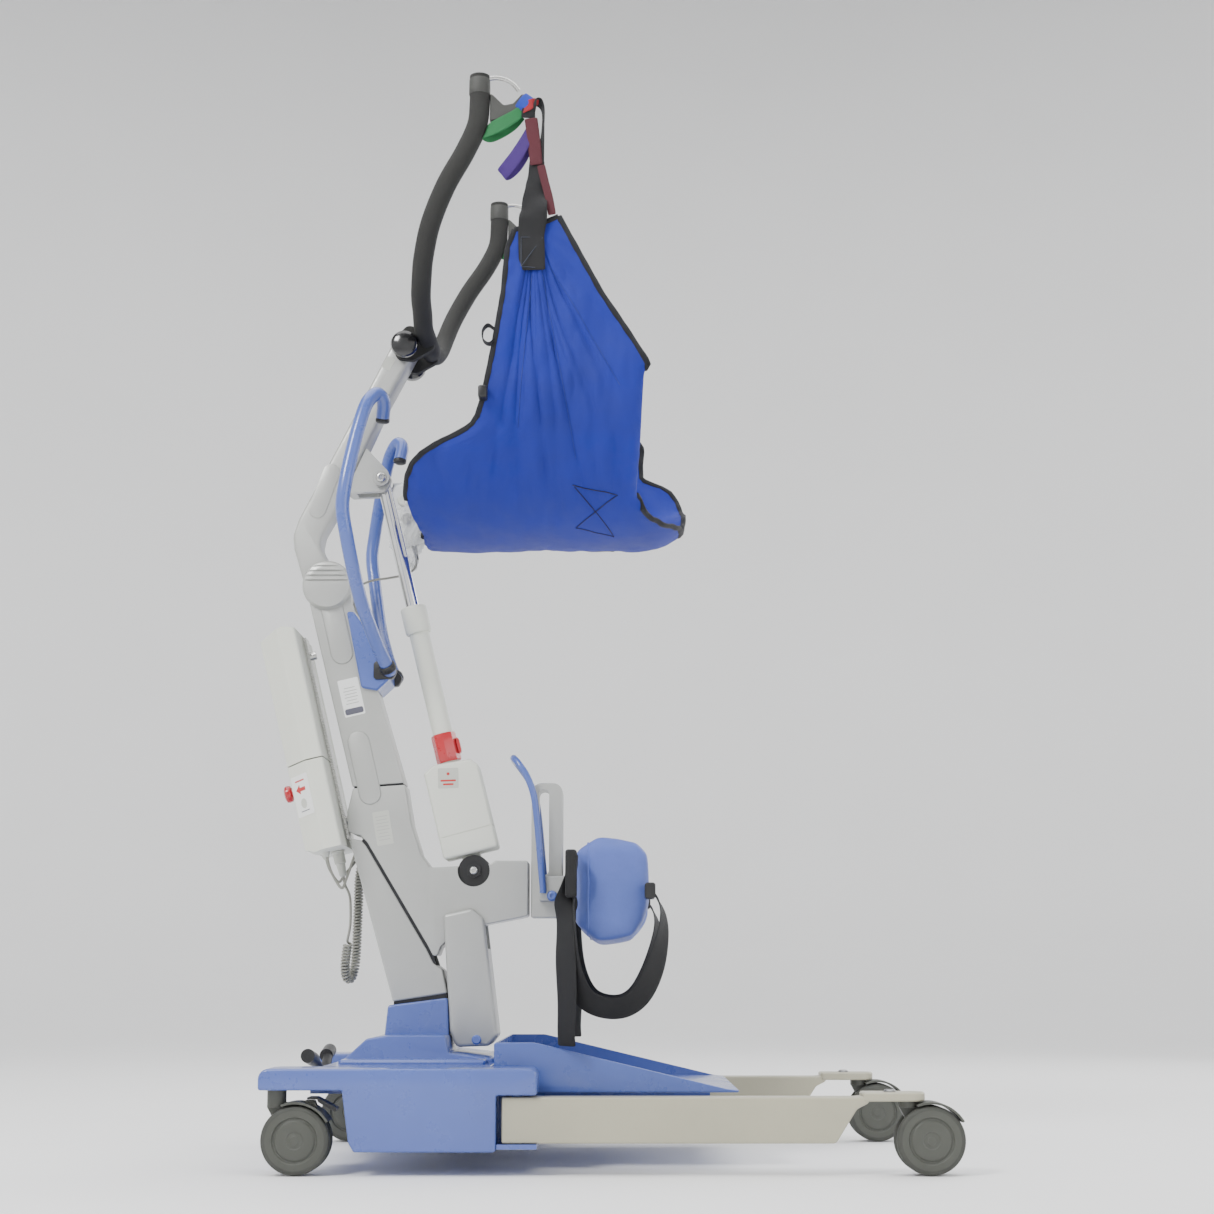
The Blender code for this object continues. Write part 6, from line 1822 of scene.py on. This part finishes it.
route = cord_route()
cord = tube("cord", route, CORD_R, 3)
cord.name = "v_cord"
wear(cord, cordlight, 60)
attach(cord, "base")
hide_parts("cord_lower", "cord_coil", "cord_upper")
relief = turned("relief", [(0, 26), (2.6, 26), (3.0, 24), (4.6, 3), (5.4, 0), (0, 0)],
                (bottom[0], 192, bottom[1] + 1.0), (-sa * -1.0, 0, -ca), 40)
extra("handset_relief", relief, "handset", black)


# two short power leads from the case's underside up behind the mast's lower casting
for k, (n0, y0, drop, y1) in enumerate(((-52.0, -26.0, 62.0, -20.0), (-60.0, 24.0, 48.0, 18.0))):
    top_c = in_mast(n0, -193.0)
    end_c = in_mast(6.0, -196.0 - 4 * k)
    keys = [(top_c[0], y0, top_c[1]),
            (top_c[0] + down.x * 14, y0, top_c[1] + down.z * 14),
            (top_c[0] + down.x * (drop * 0.6) + 2, y0 + 1, top_c[1] + down.z * drop * 0.6),
            (top_c[0] + down.x * drop + 12, (y0 + y1) / 2, top_c[1] + down.z * drop),
            (top_c[0] + 34, y1, top_c[1] - drop * 0.72),
            (end_c[0] - 9, y1, end_c[1] - 14),
            (end_c[0], y1, end_c[1])]
    pts = through(keys, 8)
    lead = tube("lead", pts, 2.2, 3)
    lead.name = "case_lead_%d" % k
    wear(lead, cordlight, 60)
    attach(lead, "base")
    gl = turned("gland", [(0, 12), (3.2, 12), (5.2, 9), (6.6, 4), (8.5, 3.5), (8.5, 0), (0, 0)],
                (top_c[0] - down.x * 1, y0, top_c[1] - down.z * 1), down, 32)
    extra("case_gland_%d" % k, gl, "control_box", labelgrey)


# clear wrapping round the handset
def wrapping():
    bm = bmesh.new()
    bmesh.ops.create_icosphere(bm, subdivisions=6, radius=1.0)
    for v in bm.verts:
        c = v.co.copy()
        fold = (noise.noise(c * 2.3) * 0.22 + abs(noise.noise(c * 5.0)) * 0.22 + abs(noise.noise(c * 10.0 + Vector((4, 1, 2)))) * 0.10)
        pinch = 1.0 - 0.45 * smooth01((-c.z - 0.3) / 0.7)
        q = Vector((c.x * 33 * pinch, c.y * 23 * pinch, c.z * 78)) * (0.86 + fold)
        q.x += 6 * math.sin(c.z * 3.0)
        tilt = math.radians(8)
        x, z = q.x * math.cos(tilt) - q.z * math.sin(tilt), q.x * math.sin(tilt) + q.z * math.cos(tilt)
        v.co = P(-362 + x, 193 + q.y * 1.1, 1070 + z)
    mesh = bpy.data.meshes.new("wrap")
    bm.to_mesh(mesh)
    bm.free()
    return extra("handset_wrapping", add(mesh, "wrap"), "handset", film, 180)


wrapping()
